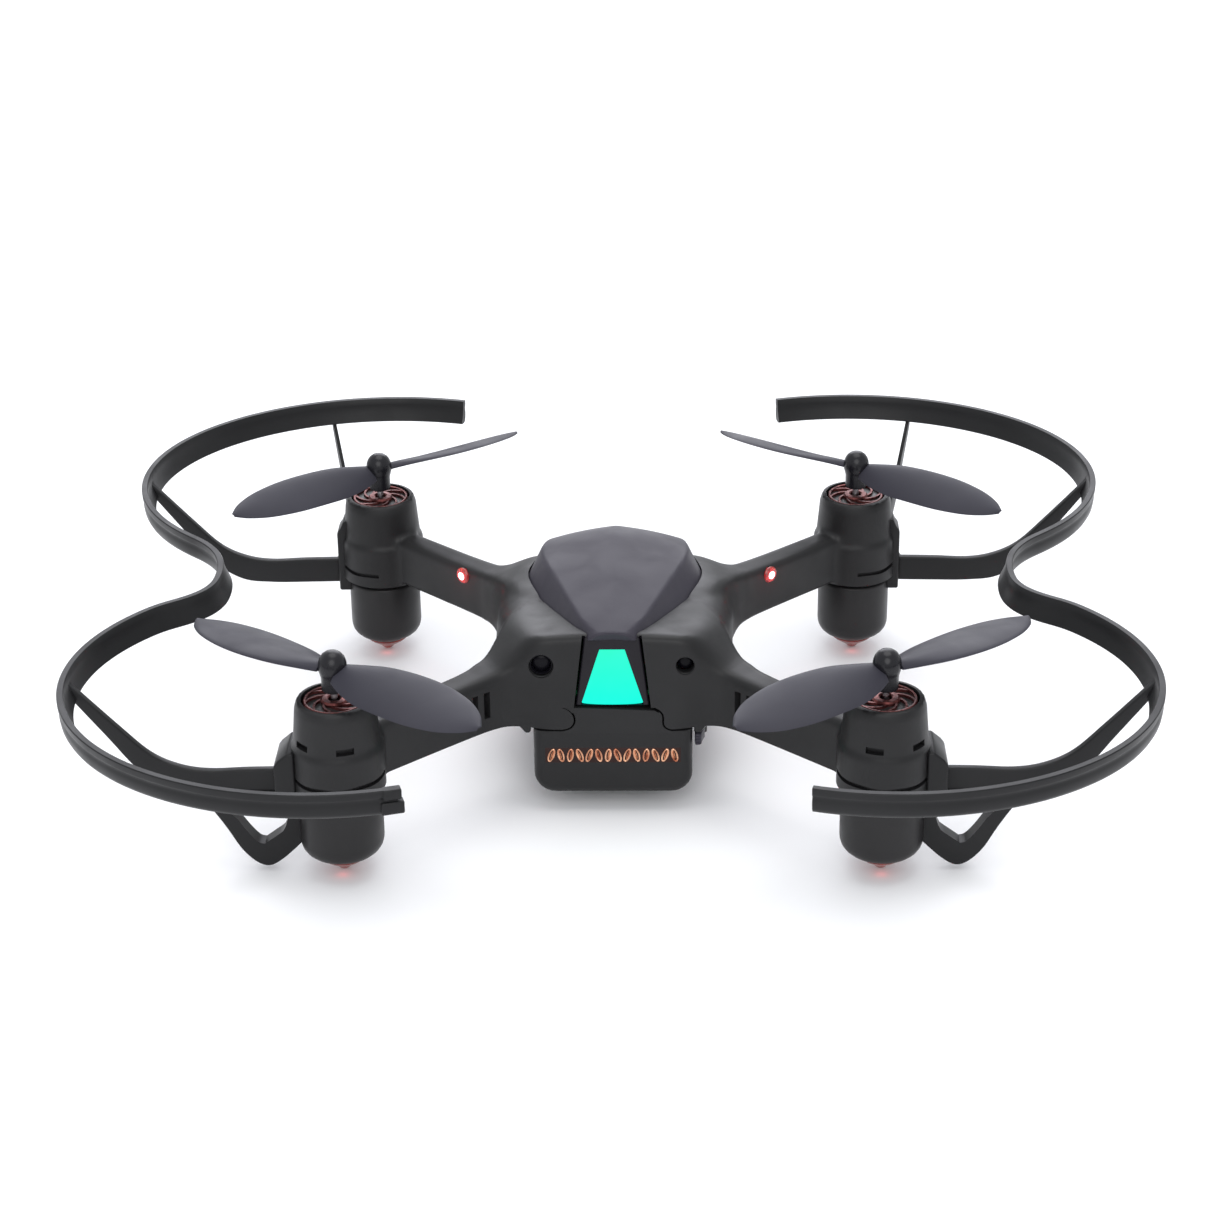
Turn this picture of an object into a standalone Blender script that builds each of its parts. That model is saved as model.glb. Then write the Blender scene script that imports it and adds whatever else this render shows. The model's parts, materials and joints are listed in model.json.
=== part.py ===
"""Mini palm drone with ribbon propeller guards.

A palm-size quadcopter standing on its four pod tips. The front faces -Y, +X is the right-hand side when
the nose is seen from ahead, and +Z is up. The origin is on the ground under the middle of the hull.
Sizes below are in millimetres, and every mesh is scaled to metres when it is made.
"""

import math

import bmesh
import bpy
from mathutils import Matrix, Vector

MM = 0.001
WELD = 1e-4
GAP = 0.3
ROUND = 16
HOUSING_ROUND = 20

# Layout of the four pods, each with a motor on a vertical axis.
MOTOR_X = 39.0
MOTOR_Y = 35.8
ARM_LENGTH = math.hypot(MOTOR_X, MOTOR_Y)
CORNERS = (
    ("front_left", -1, -1),
    ("front_right", 1, -1),
    ("rear_left", -1, 1),
    ("rear_right", 1, 1),
)
SIDES = (("left", -1), ("right", 1))

# Hull.
HULL_BOTTOM = 14.1
HULL_WALL = 1.3
FACE_Y = -20.0
FACE_LEAN = 2.0 / 14.0
# Each row: y, half bottom, half side, half shoulder, z side low, z side high, z shoulder, z crown, lean.
HULL_ROWS = (
    (-20.0, 12.4, 12.9, 11.2, 15.2, 25.0, 28.2, 28.8, 1.0),
    (-16.5, 13.9, 15.3, 12.9, 15.8, 24.2, 28.0, 28.9, 0.8),
    (-10.0, 15.6, 17.4, 14.9, 16.2, 22.9, 27.0, 28.3, 0.3),
    (-2.0, 16.4, 18.3, 15.9, 16.4, 22.0, 25.8, 27.2, 0.0),
    (8.0, 16.4, 18.3, 15.9, 16.4, 21.8, 25.1, 26.6, 0.0),
    (17.0, 14.6, 16.4, 14.2, 16.4, 21.6, 24.6, 26.0, 0.0),
    (24.0, 10.6, 12.2, 10.4, 16.6, 21.4, 23.9, 24.8, 0.0),
    (26.0, 8.8, 10.0, 8.6, 16.8, 20.8, 22.8, 23.6, 0.0),
)
HULL_ROUNDING = 1.1

# Canopy. Each row: y, half crease, half base, z crown, z crease, z base.
CANOPY_ROWS = (
    (-18.2, 3.0, 3.5, 29.3, 29.1, 28.4),
    (-14.0, 4.8, 5.7, 29.9, 29.5, 27.7),
    (-8.0, 7.4, 9.0, 30.5, 29.7, 26.3),
    (0.0, 10.4, 12.6, 31.2, 29.8, 25.2),
    (9.0, 12.3, 14.1, 31.6, 29.3, 24.5),
    (15.0, 11.8, 13.2, 31.2, 28.6, 24.2),
    (20.0, 9.8, 11.2, 29.3, 27.2, 23.9),
    (23.2, 6.6, 8.2, 26.4, 25.6, 23.8),
)
CANOPY_WALL = 1.0

# Arms: distance from the hull's centre, width, z top.
ARM_STATIONS = ((13.0, 9.5, 23.4), (22.0, 7.0, 23.1), (29.0, 4.8, 22.5), (ARM_LENGTH, 4.4, 22.4))
ARM_CHANNEL = 2.6
ARM_ROOF = 20.9
WIRE_Z = 19.2
SLOT_COUNT = 3
SLOT_PITCH = 2.6
SLOT_WIDTH = 1.3
SLOT_LOW, SLOT_HIGH = 16.6, 20.4
SLOT_START = 26.9
ARM_LIGHT_AT = 31.3
ARM_LIGHT_Z = 20.3

# Pods.
HOUSING_RADIUS = 6.7
HOUSING_TOP = 27.9
BORE_RADIUS = 4.8
CAP_RADIUS = 6.05
CAP_TOP = 13.8
CAN_RADIUS = 4.3
CAN_BOTTOM, CAN_TOP = 7.6, 26.6
SHAFT_RADIUS = 0.5

# Propellers.
BLADE_RADIUS = 27.5
BLADE_Z = 32.0
BLADE_REST_ANGLE = 37.0
HUB_TOP = 35.3
# Each row: fraction of the radius, chord, pitch in degrees, thickness, sweep of the mid chord.
BLADE_ROWS = (
    (0.05, 3.8, 32.0, 1.3, 0.0),
    (0.14, 6.0, 29.0, 1.2, 0.0),
    (0.28, 8.4, 25.0, 1.0, 0.1),
    (0.46, 9.4, 21.5, 0.9, 0.2),
    (0.64, 9.2, 20.0, 0.8, 0.1),
    (0.81, 7.4, 19.0, 0.7, -0.1),
    (0.93, 4.4, 18.0, 0.6, -0.3),
    (1.00, 1.0, 18.0, 0.4, -0.5),
)

# Guards: the rim is an ellipse about each motor, drawn in to a waist between the two.
RIM_X, RIM_Y = 38.7, 34.6
RIM_END_X = 27.0
WAIST_X = 61.7
WAIST_LEAVE_X = 66.0
WAIST_HANDLES = (5.2, 4.4)
# The ribbon's dished section: distance outward from the rim, z.
RIBBON = ((0.0, 31.6), (-0.1, 29.6), (-0.6, 28.0), (-1.6, 28.1), (-1.15, 29.8), (-1.0, 31.6))
RIM_STEPS = 22
WAIST_STEPS = 5
STRUT_THICKNESS = 1.4
BRACE_THICKNESS = 1.0
STRUT_START = 7.2
# Upper and lower edges of a strut: distance from the motor's axis, z.
STRUT_TOP = ((7.2, 16.6), (13.0, 16.5), (18.6, 16.3), (22.8, 17.0), (26.8, 19.0), (31.0, 23.2), (38.1, 30.9))
STRUT_LOW = ((38.1, 28.6), (32.8, 21.9), (28.6, 16.4), (23.8, 13.1), (18.8, 12.4), (13.0, 12.4), (7.2, 12.5))
BRACE_ANGLE = 19.0
# Outer face and top of the clip blocks, front and rear.
CLIP_OUT = {-1: 8.8, 1: 8.0}
CLIP_TOP = {-1: 20.8, 1: 24.5}
LOOP_DEPTH = 2.4
LOOP_OUTER = (
    (21.0, 13.4),
    (16.6, 7.4),
    (14.7, 3.7),
    (13.0, 1.9),
    (11.6, 1.0),
    (10.3, 1.0),
    (8.6, 2.2),
    (6.4, 4.7),
    (6.4, 13.4),
)
LOOP_HOLE = ((11.3, 4.6), (12.2, 5.0), (14.9, 8.6), (17.2, 12.4), (8.0, 12.4), (8.0, 7.6))

# Battery.
BATTERY_HALF = 11.85
BATTERY_LOW, BATTERY_HIGH = 3.0, 13.8
BATTERY_FRONT, BATTERY_REAR = -19.9, 22.0
CAP_THICKNESS = 2.2
CORNER_RADIUS = 3.0
TONGUE_HALF = 6.7
TONGUE_TOP = 17.0
GROOVE_LOW, GROOVE_HIGH = 10.7, 12.1
RAIL_FRONT, RAIL_REAR = -10.0, 16.0
RAIL_IN, RAIL_OUT = 12.25, 13.15
LATCH_PIN = (13.2, -11.6)

# Front light: half widths at the bottom and the top of the glowing window and of its bezel.
WINDOW_LOW, WINDOW_HIGH = 17.8, 26.2
WINDOW_HALF_LOW, WINDOW_HALF_HIGH = 4.5, 1.85
BEZEL_LOW, BEZEL_HIGH = 17.6, 27.2
BEZEL_HALF_LOW, BEZEL_HALF_HIGH = 5.45, 4.2

CAMERA_X, CAMERA_Z, CAMERA_HOLE = -10.5, 24.0, 1.75
SENSOR_X, SENSOR_Z, SENSOR_HOLE = 10.8, 24.0, 1.3
BUTTON_Z, BUTTON_RADIUS = 18.6, 1.5
SCREW_X = 12.2
SCREW_Y = {-1: -6.0, 1: 7.0}
SCREW_SPOTS = tuple((corner, sx * SCREW_X, SCREW_Y[sy]) for corner, sx, sy in CORNERS)
BOARD_LOW, BOARD_HIGH = 16.5, 17.3
POST_X = 7.0
POST_Y = {-1: -11.0, 1: 16.0}


# ---------------------------------------------------------------- materials


def material(name, colour, roughness, metallic=0.0, glow=0.0):
    made = bpy.data.materials.new(name)
    made.use_nodes = True
    shader = made.node_tree.nodes["Principled BSDF"]
    shader.inputs["Base Color"].default_value = (*colour, 1.0)
    shader.inputs["Roughness"].default_value = roughness
    shader.inputs["Metallic"].default_value = metallic
    if glow:
        shader.inputs["Emission Color"].default_value = (*colour, 1.0)
        shader.inputs["Emission Strength"].default_value = glow
    made.diffuse_color = (*colour, 1.0)
    return made


BLACK = (0.035, 0.035, 0.038)
GREY = (0.10, 0.095, 0.11)
COPPER = (0.35, 0.11, 0.08)


# ---------------------------------------------------------------- shape helpers


def finish(name, bm, made_of, at=(0.0, 0.0, 0.0), smooth_angle=35.0):
    """Turns a bmesh in millimetres, drawn about the point at, into an object in metres."""
    bmesh.ops.remove_doubles(bm, verts=bm.verts, dist=WELD)
    bmesh.ops.recalc_face_normals(bm, faces=bm.faces)
    bm.transform(Matrix.Scale(MM, 4))
    mesh = bpy.data.meshes.new(name)
    bm.to_mesh(mesh)
    bm.free()
    mesh.shade_smooth()
    mesh.set_sharp_from_angle(angle=math.radians(smooth_angle))
    obj = bpy.data.objects.new(name, mesh)
    obj.location = [value * MM for value in at]
    bpy.context.scene.collection.objects.link(obj)
    if made_of is not None:
        mesh.materials.append(made_of)
    return obj


def helper(name, bm, at=(0.0, 0.0, 0.0)):
    """A solid used only to cut or to fuse."""
    obj = finish(name, bm, None, at)
    obj.hide_render = True
    obj.display_type = "WIRE"
    return obj


def boolean(target, others, operation):
    group = bpy.data.collections.new(f"{target.name}_{operation.lower()}_{len(target.modifiers)}")
    for other in others:
        group.objects.link(other)
    modifier = target.modifiers.new(group.name, "BOOLEAN")
    modifier.operation = operation
    modifier.solver = "EXACT"
    modifier.operand_type = "COLLECTION"
    modifier.collection = group


def cut(target, *others):
    boolean(target, others, "DIFFERENCE")


def fuse(target, *others):
    boolean(target, others, "UNION")


def loft(rings):
    """A closed solid through rings of equally many points, with flat ends."""
    bm = bmesh.new()
    layers = [[bm.verts.new(point) for point in ring] for ring in rings]
    for near, far in zip(layers, layers[1:]):
        for i in range(len(near)):
            j = (i + 1) % len(near)
            bm.faces.new((near[i], near[j], far[j], far[i]))
    bm.faces.new(layers[0])
    bm.faces.new(layers[-1])
    return bm


def prism(outline, low, high, plane="XY"):
    """An outline pushed from low to high along the axis that its plane leaves out."""
    place = {
        "XY": lambda u, v, w: (u, v, w),
        "XZ": lambda u, v, w: (u, w, v),
        "YZ": lambda u, v, w: (w, u, v),
    }[plane]
    return loft([[place(u, v, w) for u, v in outline] for w in (low, high)])


def box(low, high):
    outline = ((low[0], low[1]), (high[0], low[1]), (high[0], high[1]), (low[0], high[1]))
    return prism(outline, low[2], high[2])


def turned(profile, steps=ROUND):
    """A solid of revolution about Z, through (radius, z) points.

    The profile closes on itself, save between two neighbouring points that both lie on the axis.
    """
    bm = bmesh.new()
    points = [bm.verts.new((radius, 0.0, z)) for radius, z in profile]
    edges = []
    for near, far in zip(points, points[1:] + points[:1]):
        if near.co.x > 0.0 or far.co.x > 0.0:
            edges.append(bm.edges.new((near, far)))
    centre, axis, still = (0, 0, 0), (0, 0, 1), (0, 0, 0)
    bmesh.ops.spin(
        bm,
        geom=points + edges,
        cent=centre,
        axis=axis,
        dvec=still,
        angle=math.tau,
        steps=steps,
        use_merge=True,
    )
    bmesh.ops.remove_doubles(bm, verts=bm.verts, dist=WELD)
    return bm


def disc(radius, low, high, steps=ROUND):
    return turned(((0.0, low), (radius, low), (radius, high), (0.0, high)), steps)


def rounded_box_outline(half, low, high, radius, steps=4):
    """A box outline with its two lower corners rounded."""
    outline = [(half, high), (-half, high)]
    for side, start in ((-1, 180.0), (1, 270.0)):
        for i in range(steps + 1):
            angle = math.radians(start + 90.0 * i / steps)
            x = side * (half - radius) + radius * math.cos(angle)
            outline.append((x, low + radius + radius * math.sin(angle)))
    return outline


def between(before, start, end, after, t):
    """A number a share t of the way from start to end, on a curve that also passes the other two."""
    linear = (end - before) * t
    square = (2 * before - 5 * start + 4 * end - after) * t * t
    cube = (3 * start - before - 3 * end + after) * t**3
    return 0.5 * (2 * start + linear + square + cube)


def smooth_run(points, steps=2):
    """Points along a curve through the given ones."""
    ends = [points[0], *points, points[-1]]
    run = []
    for four in zip(ends, ends[1:], ends[2:], ends[3:]):
        for i in range(steps):
            run.append(tuple(between(*numbers, i / steps) for numbers in zip(*four)))
    run.append(points[-1])
    return run


def face_y(z):
    """The leaning front face of the hull."""
    return FACE_Y + FACE_LEAN * (z - HULL_BOTTOM)


def face_plate(outline, front, back):
    """A plate in the hull's front face: an outline in X and Z, with depths behind that face."""
    return loft([[(x, face_y(z) + depth, z) for x, z in outline] for depth in (front, back)])


def trapezoid(half_low, half_high, low, high, grow=0.0):
    return (
        (-half_low - grow, low - grow),
        (half_low + grow, low - grow),
        (half_high + grow, high + grow),
        (-half_high - grow, high + grow),
    )


def along_arm(sx, sy, distance, offset=0.0):
    """A point in plan: distance from the hull's centre along an arm, and offset to the arm's front side."""
    ux, uy = sx * MOTOR_X / ARM_LENGTH, sy * MOTOR_Y / ARM_LENGTH
    return ux * distance - sx * sy * uy * offset, uy * distance + sx * sy * ux * offset


def pod_centre(sx, sy):
    return sx * MOTOR_X, sy * MOTOR_Y, 0.0


def arm_box(sx, sy, start, end, half, low, high):
    """A straight bar along an arm."""
    rings = []
    for distance in (start, end):
        left = along_arm(sx, sy, distance, -half)
        right = along_arm(sx, sy, distance, half)
        rings.append([(*left, low), (*right, low), (*right, high), (*left, high)])
    return loft(rings)


# ---------------------------------------------------------------- hull, arms and housings


def hull_ring(row, wall=0.0, bottom=HULL_BOTTOM):
    y, half_bottom, half_side, half_top, z_low, z_high, z_top, z_crown, lean = row
    half = [
        (half_bottom - wall, bottom),
        (half_side - wall, z_low),
        (half_side - wall, z_high),
        (half_top - wall, z_top - wall),
        (0.0, z_crown - wall),
    ]
    points = half + [(-x, z) for x, z in reversed(half[:-1])]
    return [(x, y + lean * FACE_LEAN * (z - HULL_BOTTOM), z) for x, z in points]


def hull_cavity():
    """The space inside the hull, open below."""
    rings = []
    for row in HULL_ROWS:
        y = min(max(row[0], FACE_Y + HULL_WALL), HULL_ROWS[-1][0] - HULL_WALL)
        rings.append(hull_ring((y, *row[1:]), HULL_WALL, HULL_BOTTOM - 1.0))
    return loft(rings)


def canopy_ring(row, grow=0.0, drop=0.0):
    y, half_crease, half_base, z_crown, z_crease, z_base = row
    half = [
        (half_base + grow, z_base - drop),
        (half_crease + grow, z_crease + grow),
        (half_crease * 0.5, z_crease + 0.7 * (z_crown - z_crease) + grow),
        (0.0, z_crown + grow),
    ]
    points = half + [(-x, z) for x, z in reversed(half[:-1])]
    return [(x, y, z) for x, z in points]


def canopy_solid(grow, drop, front_trim, rear_trim):
    rings = []
    for row in CANOPY_ROWS:
        y = min(max(row[0], CANOPY_ROWS[0][0] + front_trim), CANOPY_ROWS[-1][0] - rear_trim)
        rings.append(canopy_ring((y, *row[1:]), grow, drop))
    return loft(rings)


def arm_solid(sx, sy):
    """An arm that flares into the hull."""
    rings = []
    for distance, width, top in ARM_STATIONS:
        edge = 0.22 * width
        section = (
            (-width / 2, HULL_BOTTOM - 1.0),
            (width / 2, HULL_BOTTOM - 1.0),
            (width / 2, top - edge),
            (width / 2 - edge, top),
            (edge - width / 2, top),
            (-width / 2, top - edge),
        )
        rings.append([(*along_arm(sx, sy, distance, offset), z) for offset, z in section])
    return loft(rings)


def housing_profile():
    return (
        (0.0, HULL_BOTTOM - 2.0),
        (HOUSING_RADIUS, HULL_BOTTOM - 2.0),
        (HOUSING_RADIUS, 20.4),
        (HOUSING_RADIUS - 0.45, 21.4),
        (HOUSING_RADIUS - 0.9, 26.6),
        (HOUSING_RADIUS - 1.35, HOUSING_TOP),
        (0.0, HOUSING_TOP),
    )


def upper_shell(black):
    shell = finish("upper_shell", loft([hull_ring(row) for row in HULL_ROWS]), black)
    bevel = shell.modifiers.new("rounded_edges", "BEVEL")
    bevel.width = HULL_ROUNDING * MM
    bevel.segments = 2
    bevel.limit_method = "ANGLE"
    bevel.angle_limit = math.radians(28)
    arms = [helper(f"arm_{corner}", arm_solid(sx, sy)) for corner, sx, sy in CORNERS]
    housings = []
    for corner, sx, sy in CORNERS:
        solid = turned(housing_profile(), HOUSING_ROUND)
        housings.append(helper(f"housing_{corner}", solid, pod_centre(sx, sy)))
    fuse(shell, *arms, *housings)
    cut(shell, helper("hull_space", hull_cavity()), helper("canopy_seat", canopy_solid(GAP, GAP, -GAP, -GAP)))
    bosses = []
    for corner, x, y in SCREW_SPOTS:
        web = sorted((x - math.copysign(0.9, x), x + math.copysign(4.6, x)))
        bosses.append(helper(f"boss_{corner}", disc(1.9, 15.6, 20.5, 10), (x, y, 0)))
        bosses.append(helper(f"web_{corner}", box((web[0], y - 0.6, 15.9), (web[1], y + 0.6, 20.2))))
    fuse(shell, *bosses)
    cut(shell, *shell_openings())


def shell_openings():
    """Everything cut through the shell's walls, and the flat underside that its rim ends on."""
    found = [helper("underside", box((-60, -60, HULL_BOTTOM - 10), (60, 60, HULL_BOTTOM)))]
    for corner, x, y in SCREW_SPOTS:
        found.append(helper(f"boss_hole_{corner}", disc(0.85, 15.0, 19.6, 8), (x, y, 0)))
    for corner, sx, sy in CORNERS:
        channel = arm_box(sx, sy, 16.5, ARM_LENGTH, ARM_CHANNEL / 2, HULL_BOTTOM - 1, ARM_ROOF)
        found.append(helper(f"channel_{corner}", channel))
        bore = disc(BORE_RADIUS, HULL_BOTTOM - 1, HOUSING_TOP + 1, HOUSING_ROUND)
        found.append(helper(f"bore_{corner}", bore, pod_centre(sx, sy)))
        if sy > 0:
            found.append(helper(f"arm_light_hole_{corner}", arm_light(sx, sy, 1.25, 0.2, 4.0)))
            continue
        for i in range(SLOT_COUNT):
            start = SLOT_START + SLOT_PITCH * i
            slot = arm_box(sx, sy, start, start + SLOT_WIDTH, 4.0, SLOT_LOW, SLOT_HIGH)
            found.append(helper(f"slot_{corner}_{i}", slot))
    opening = trapezoid(BEZEL_HALF_LOW, BEZEL_HALF_HIGH, BEZEL_LOW, BEZEL_HIGH, GAP)
    found.append(helper("bezel_opening", face_plate(opening, -3, 4)))
    half = TONGUE_HALF + GAP
    tongue = ((-half, 12), (half, 12), (half, BEZEL_LOW), (-half, BEZEL_LOW))
    found.append(helper("tongue_opening", prism(tongue, FACE_Y - 3, BATTERY_FRONT + CAP_THICKNESS + 1, "XZ")))
    holes = (("camera", CAMERA_X, CAMERA_Z, CAMERA_HOLE), ("sensor", SENSOR_X, SENSOR_Z, SENSOR_HOLE))
    for name, x, z, radius in holes:
        drill = ((0.0, -3.0), (radius, -3.0), (radius, 4.0), (0.0, 4.0))
        found.append(helper(f"{name}_hole", front_round(drill), (x, face_y(z), z)))
    button_hole = disc(BUTTON_RADIUS + GAP, 23.0, 28.0, 16)
    button_hole.transform(Matrix.Rotation(math.radians(-90), 4, "X"))
    found.append(helper("button_hole", button_hole, (0, 0, BUTTON_Z)))
    return found


def front_round(profile, steps=18):
    """A turned piece whose axis runs back from the hull's front face: radius, depth behind that face."""
    bm = turned([(radius, depth) for radius, depth in profile], steps)
    bm.transform(Matrix.Rotation(math.radians(-90), 4, "X"))
    return bm


def arm_light(sx, sy, radius, start, end):
    """A round pin through an arm's front side wall."""
    bm = disc(radius, start, end, 14)
    angle = math.atan2(-sy * sx * sx * MOTOR_X, sy * sx * sx * MOTOR_Y * sx)
    bm.transform(Matrix.Rotation(math.radians(90), 4, "Y"))
    bm.transform(Matrix.Rotation(angle, 4, "Z"))
    x, y = along_arm(sx, sy, ARM_LIGHT_AT)
    bm.transform(Matrix.Translation((x, y, ARM_LIGHT_Z)))
    return bm


def canopy(grey):
    cover = finish("canopy", canopy_solid(0.0, 0.0, 0.0, 0.0), grey, smooth_angle=20.0)
    cut(cover, helper("canopy_space", canopy_solid(-CANOPY_WALL, 2.0, CANOPY_WALL, CANOPY_WALL)))


def lower_shell(black):
    """Belly plate inside the hull's rim, arm floors, and the rails and rear wall of the battery bay."""
    inset = 1.3 + GAP
    rows = [(min(max(row[0], FACE_Y + 2.6), HULL_ROWS[-1][0] - inset), row[1] - inset) for row in HULL_ROWS]
    outline = rows_to_outline(rows)
    low, high = HULL_BOTTOM + 0.1, HULL_BOTTOM + 1.1
    plate = finish("lower_shell", prism(outline, low, high), black)
    wall_y = BATTERY_REAR + 1.4
    wall = rounded_box_outline(8.0, 4.2, low + 0.5, CORNER_RADIUS)
    added = [helper("bay_wall", prism(wall, wall_y, wall_y + 1.1, "XZ"))]
    for corner, sx, sy in CORNERS:
        end, half = ARM_LENGTH - BORE_RADIUS - 1.0, ARM_CHANNEL / 2 - GAP
        strip = arm_box(sx, sy, 11.0, end, half, low + 0.05, high - 0.05)
        added.append(helper(f"floor_{corner}", strip))
        post = disc(1.0, high - 0.4, BOARD_LOW - GAP, 10)
        added.append(helper(f"board_post_{corner}", post, (sx * POST_X, POST_Y[sy], 0)))
    for side, sx in SIDES:
        added.append(helper(f"rail_{side}", prism(rail_section(sx, low + 0.5), RAIL_FRONT, RAIL_REAR, "XZ")))
    for end, bottom, top in (("low", 9.7, 10.7), ("high", 13.1, low + 0.4)):
        added.append(helper(f"latch_lug_{end}", prism(latch_lug(), bottom, top)))
    web = box((RAIL_IN + 0.1, RAIL_FRONT - 0.3, 10.2), (LATCH_PIN[0] + 0.8, RAIL_FRONT + 0.9, 13.5))
    added.append(helper("latch_lug_web", web))
    fuse(plate, *added)
    holes = [helper("latch_pin_hole", disc(0.65, 9.0, high - 0.3, 12), (*LATCH_PIN, 0))]
    for corner, x, y in SCREW_SPOTS:
        holes.append(helper(f"screw_hole_{corner}", disc(0.85, low - 1, high + 1, 8), (x, y, 0)))
        holes.append(helper(f"screw_seat_{corner}", disc(1.6, low - 1, low + 0.6, 10), (x, y, 0)))
    cut(plate, *holes)


def rail_section(sx, top):
    """A hanging rail whose inward lip runs in the battery's side groove."""
    lip_low, lip_high = GROOVE_LOW + 0.2, GROOVE_HIGH - 0.4
    lip = BATTERY_HALF - 0.6
    outside = ((RAIL_IN, top), (RAIL_OUT, top), (RAIL_OUT, lip_low))
    inside = ((lip, lip_low), (lip, lip_high), (RAIL_IN, lip_high))
    return [(sx * x, z) for x, z in outside + inside]


def latch_lug():
    """One of the two ears round the latch's pin, in plan."""
    x, y = LATCH_PIN
    back = ((x - 1.05, RAIL_FRONT + 1.0), (x + 0.9, RAIL_FRONT + 1.0))
    return (*back, (x + 0.9, y - 0.8), (x + 0.5, y - 1.3), (x - 0.7, y - 1.3), (x - 1.05, y - 0.8))


def rows_to_outline(rows):
    """A plan outline from half widths along y."""
    return [(half, y) for y, half in rows] + [(-half, y) for y, half in reversed(rows)]


# ---------------------------------------------------------------- front light, camera, button


def front_light(black, glow, board):
    frame = trapezoid(BEZEL_HALF_LOW, BEZEL_HALF_HIGH, BEZEL_LOW, BEZEL_HIGH)
    bezel = finish("light_bezel", face_plate(frame, 0.45, 1.7), black)
    window = (WINDOW_HALF_LOW, WINDOW_HALF_HIGH, WINDOW_LOW, WINDOW_HIGH)
    cut(bezel, helper("window_opening", face_plate(trapezoid(*window, 0.12), -2, 4)))
    finish("light_window", face_plate(trapezoid(*window), 0.35, 1.6), glow)
    finish("light_board", face_plate(trapezoid(4.6, 3.4, 19.0, 26.6), 2.0, 2.8), board)


def camera(black, glass, board):
    at = (CAMERA_X, face_y(CAMERA_Z), CAMERA_Z)
    ring = ((1.45, 0.3), (1.45, 1.3), (1.05, 1.3), (1.05, 0.5))
    finish("camera_bezel", front_round(ring), black, at)
    lens = ((0.0, 0.55), (0.5, 0.62), (0.85, 0.9), (0.85, 1.6), (0.0, 1.6))
    finish("camera_lens", front_round(lens), glass, at)
    y = face_y(CAMERA_Z) + 2.0
    module = box((CAMERA_X - 1.2, y, CAMERA_Z - 2.0), (CAMERA_X + 1.8, y + 2.8, CAMERA_Z + 0.8))
    finish("camera_module", module, board)
    lens = ((0.0, 0.45), (0.7, 0.6), (0.95, 1.0), (0.95, 1.9), (0.0, 1.9))
    finish("sensor_window", front_round(lens), glass, (SENSOR_X, face_y(SENSOR_Z), SENSOR_Z))


def power_button(black):
    """Pushed forward into the rear wall."""
    inner_face = -HULL_WALL - 2 * GAP
    profile = (
        (0.0, inner_face - 0.7),
        (2.3, inner_face - 0.7),
        (2.3, inner_face),
        (BUTTON_RADIUS, inner_face),
        (BUTTON_RADIUS, 0.6),
        (1.1, 0.9),
        (0.0, 0.9),
    )
    bm = turned(profile, 16)
    bm.transform(Matrix.Rotation(math.radians(-90), 4, "X"))
    finish("power_button", bm, black, (0, HULL_ROWS[-1][0], BUTTON_Z))


# ---------------------------------------------------------------- battery


def battery(black, foil, brass, plastic):
    case_front = BATTERY_FRONT + CAP_THICKNESS + GAP
    outline = rounded_box_outline(BATTERY_HALF, BATTERY_LOW, BATTERY_HIGH, CORNER_RADIUS)
    case = finish("battery_case", prism(outline, case_front, BATTERY_REAR, "XZ"), black)
    cell_space = helper("cell_space", box((-10.2, case_front - 2, 4.0), (10.2, 19.4, 12.9)))
    spaces = [cell_space, helper("plug_space", box((-4.3, 19.0, 6.4), (4.3, BATTERY_REAR + 2, 10.4)))]
    for side, sx in SIDES:
        span = sorted((sx * (BATTERY_HALF - 0.9), sx * (BATTERY_HALF + 2)))
        groove = box((span[0], RAIL_FRONT - GAP, GROOVE_LOW), (span[1], BATTERY_REAR + 2, GROOVE_HIGH))
        spaces.append(helper(f"groove_{side}", groove))
    cut(case, *spaces)
    finish("battery_cell", box((-9.9, case_front + 0.2, 4.3), (9.9, 18.2, 12.6)), foil)
    plug = finish("battery_plug", box((-4.0, 18.6, 6.7), (4.0, BATTERY_REAR - 0.2, 10.1)), plastic)
    socket_plate = box((-5.0, BATTERY_REAR + 0.4, 5.8), (5.0, BATTERY_REAR + 1.1, 11.0))
    socket = finish("battery_socket", socket_plate, brass)
    slots, blades = [], []
    for side, sx in SIDES:
        slot = box((sx * 2.0 - 0.9, 20.0, 7.6), (sx * 2.0 + 0.9, BATTERY_REAR + 2, 9.2))
        slots.append(helper(f"plug_slot_{side}", slot))
        contact = box((sx * 2.0 - 0.6, 20.4, 7.9), (sx * 2.0 + 0.6, BATTERY_REAR + 0.8, 8.9))
        blades.append(helper(f"socket_contact_{side}", contact))
    cut(plug, *slots)
    fuse(socket, *blades)


def battery_front(black, copper):
    """The battery's front cap, whose tongue rises under the front light, and the contact strip in it."""
    outline = rounded_box_outline(BATTERY_HALF, BATTERY_LOW, BATTERY_HIGH, CORNER_RADIUS)
    heights = (BATTERY_HIGH, TONGUE_TOP)
    tongue = [(TONGUE_HALF, z) for z in heights] + [(-TONGUE_HALF, z) for z in reversed(heights)]
    outline = [outline[0], *tongue, *outline[1:]]
    depth = BATTERY_FRONT + CAP_THICKNESS
    cap = finish("battery_cap", prism(outline, BATTERY_FRONT, depth, "XZ"), black)
    cut(cap, helper("strip_seat", box((-10.2, BATTERY_FRONT - 2, 8.2), (10.2, BATTERY_FRONT + 0.7, 11.3))))
    finish("contact_strip", contact_strip(), copper)


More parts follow.
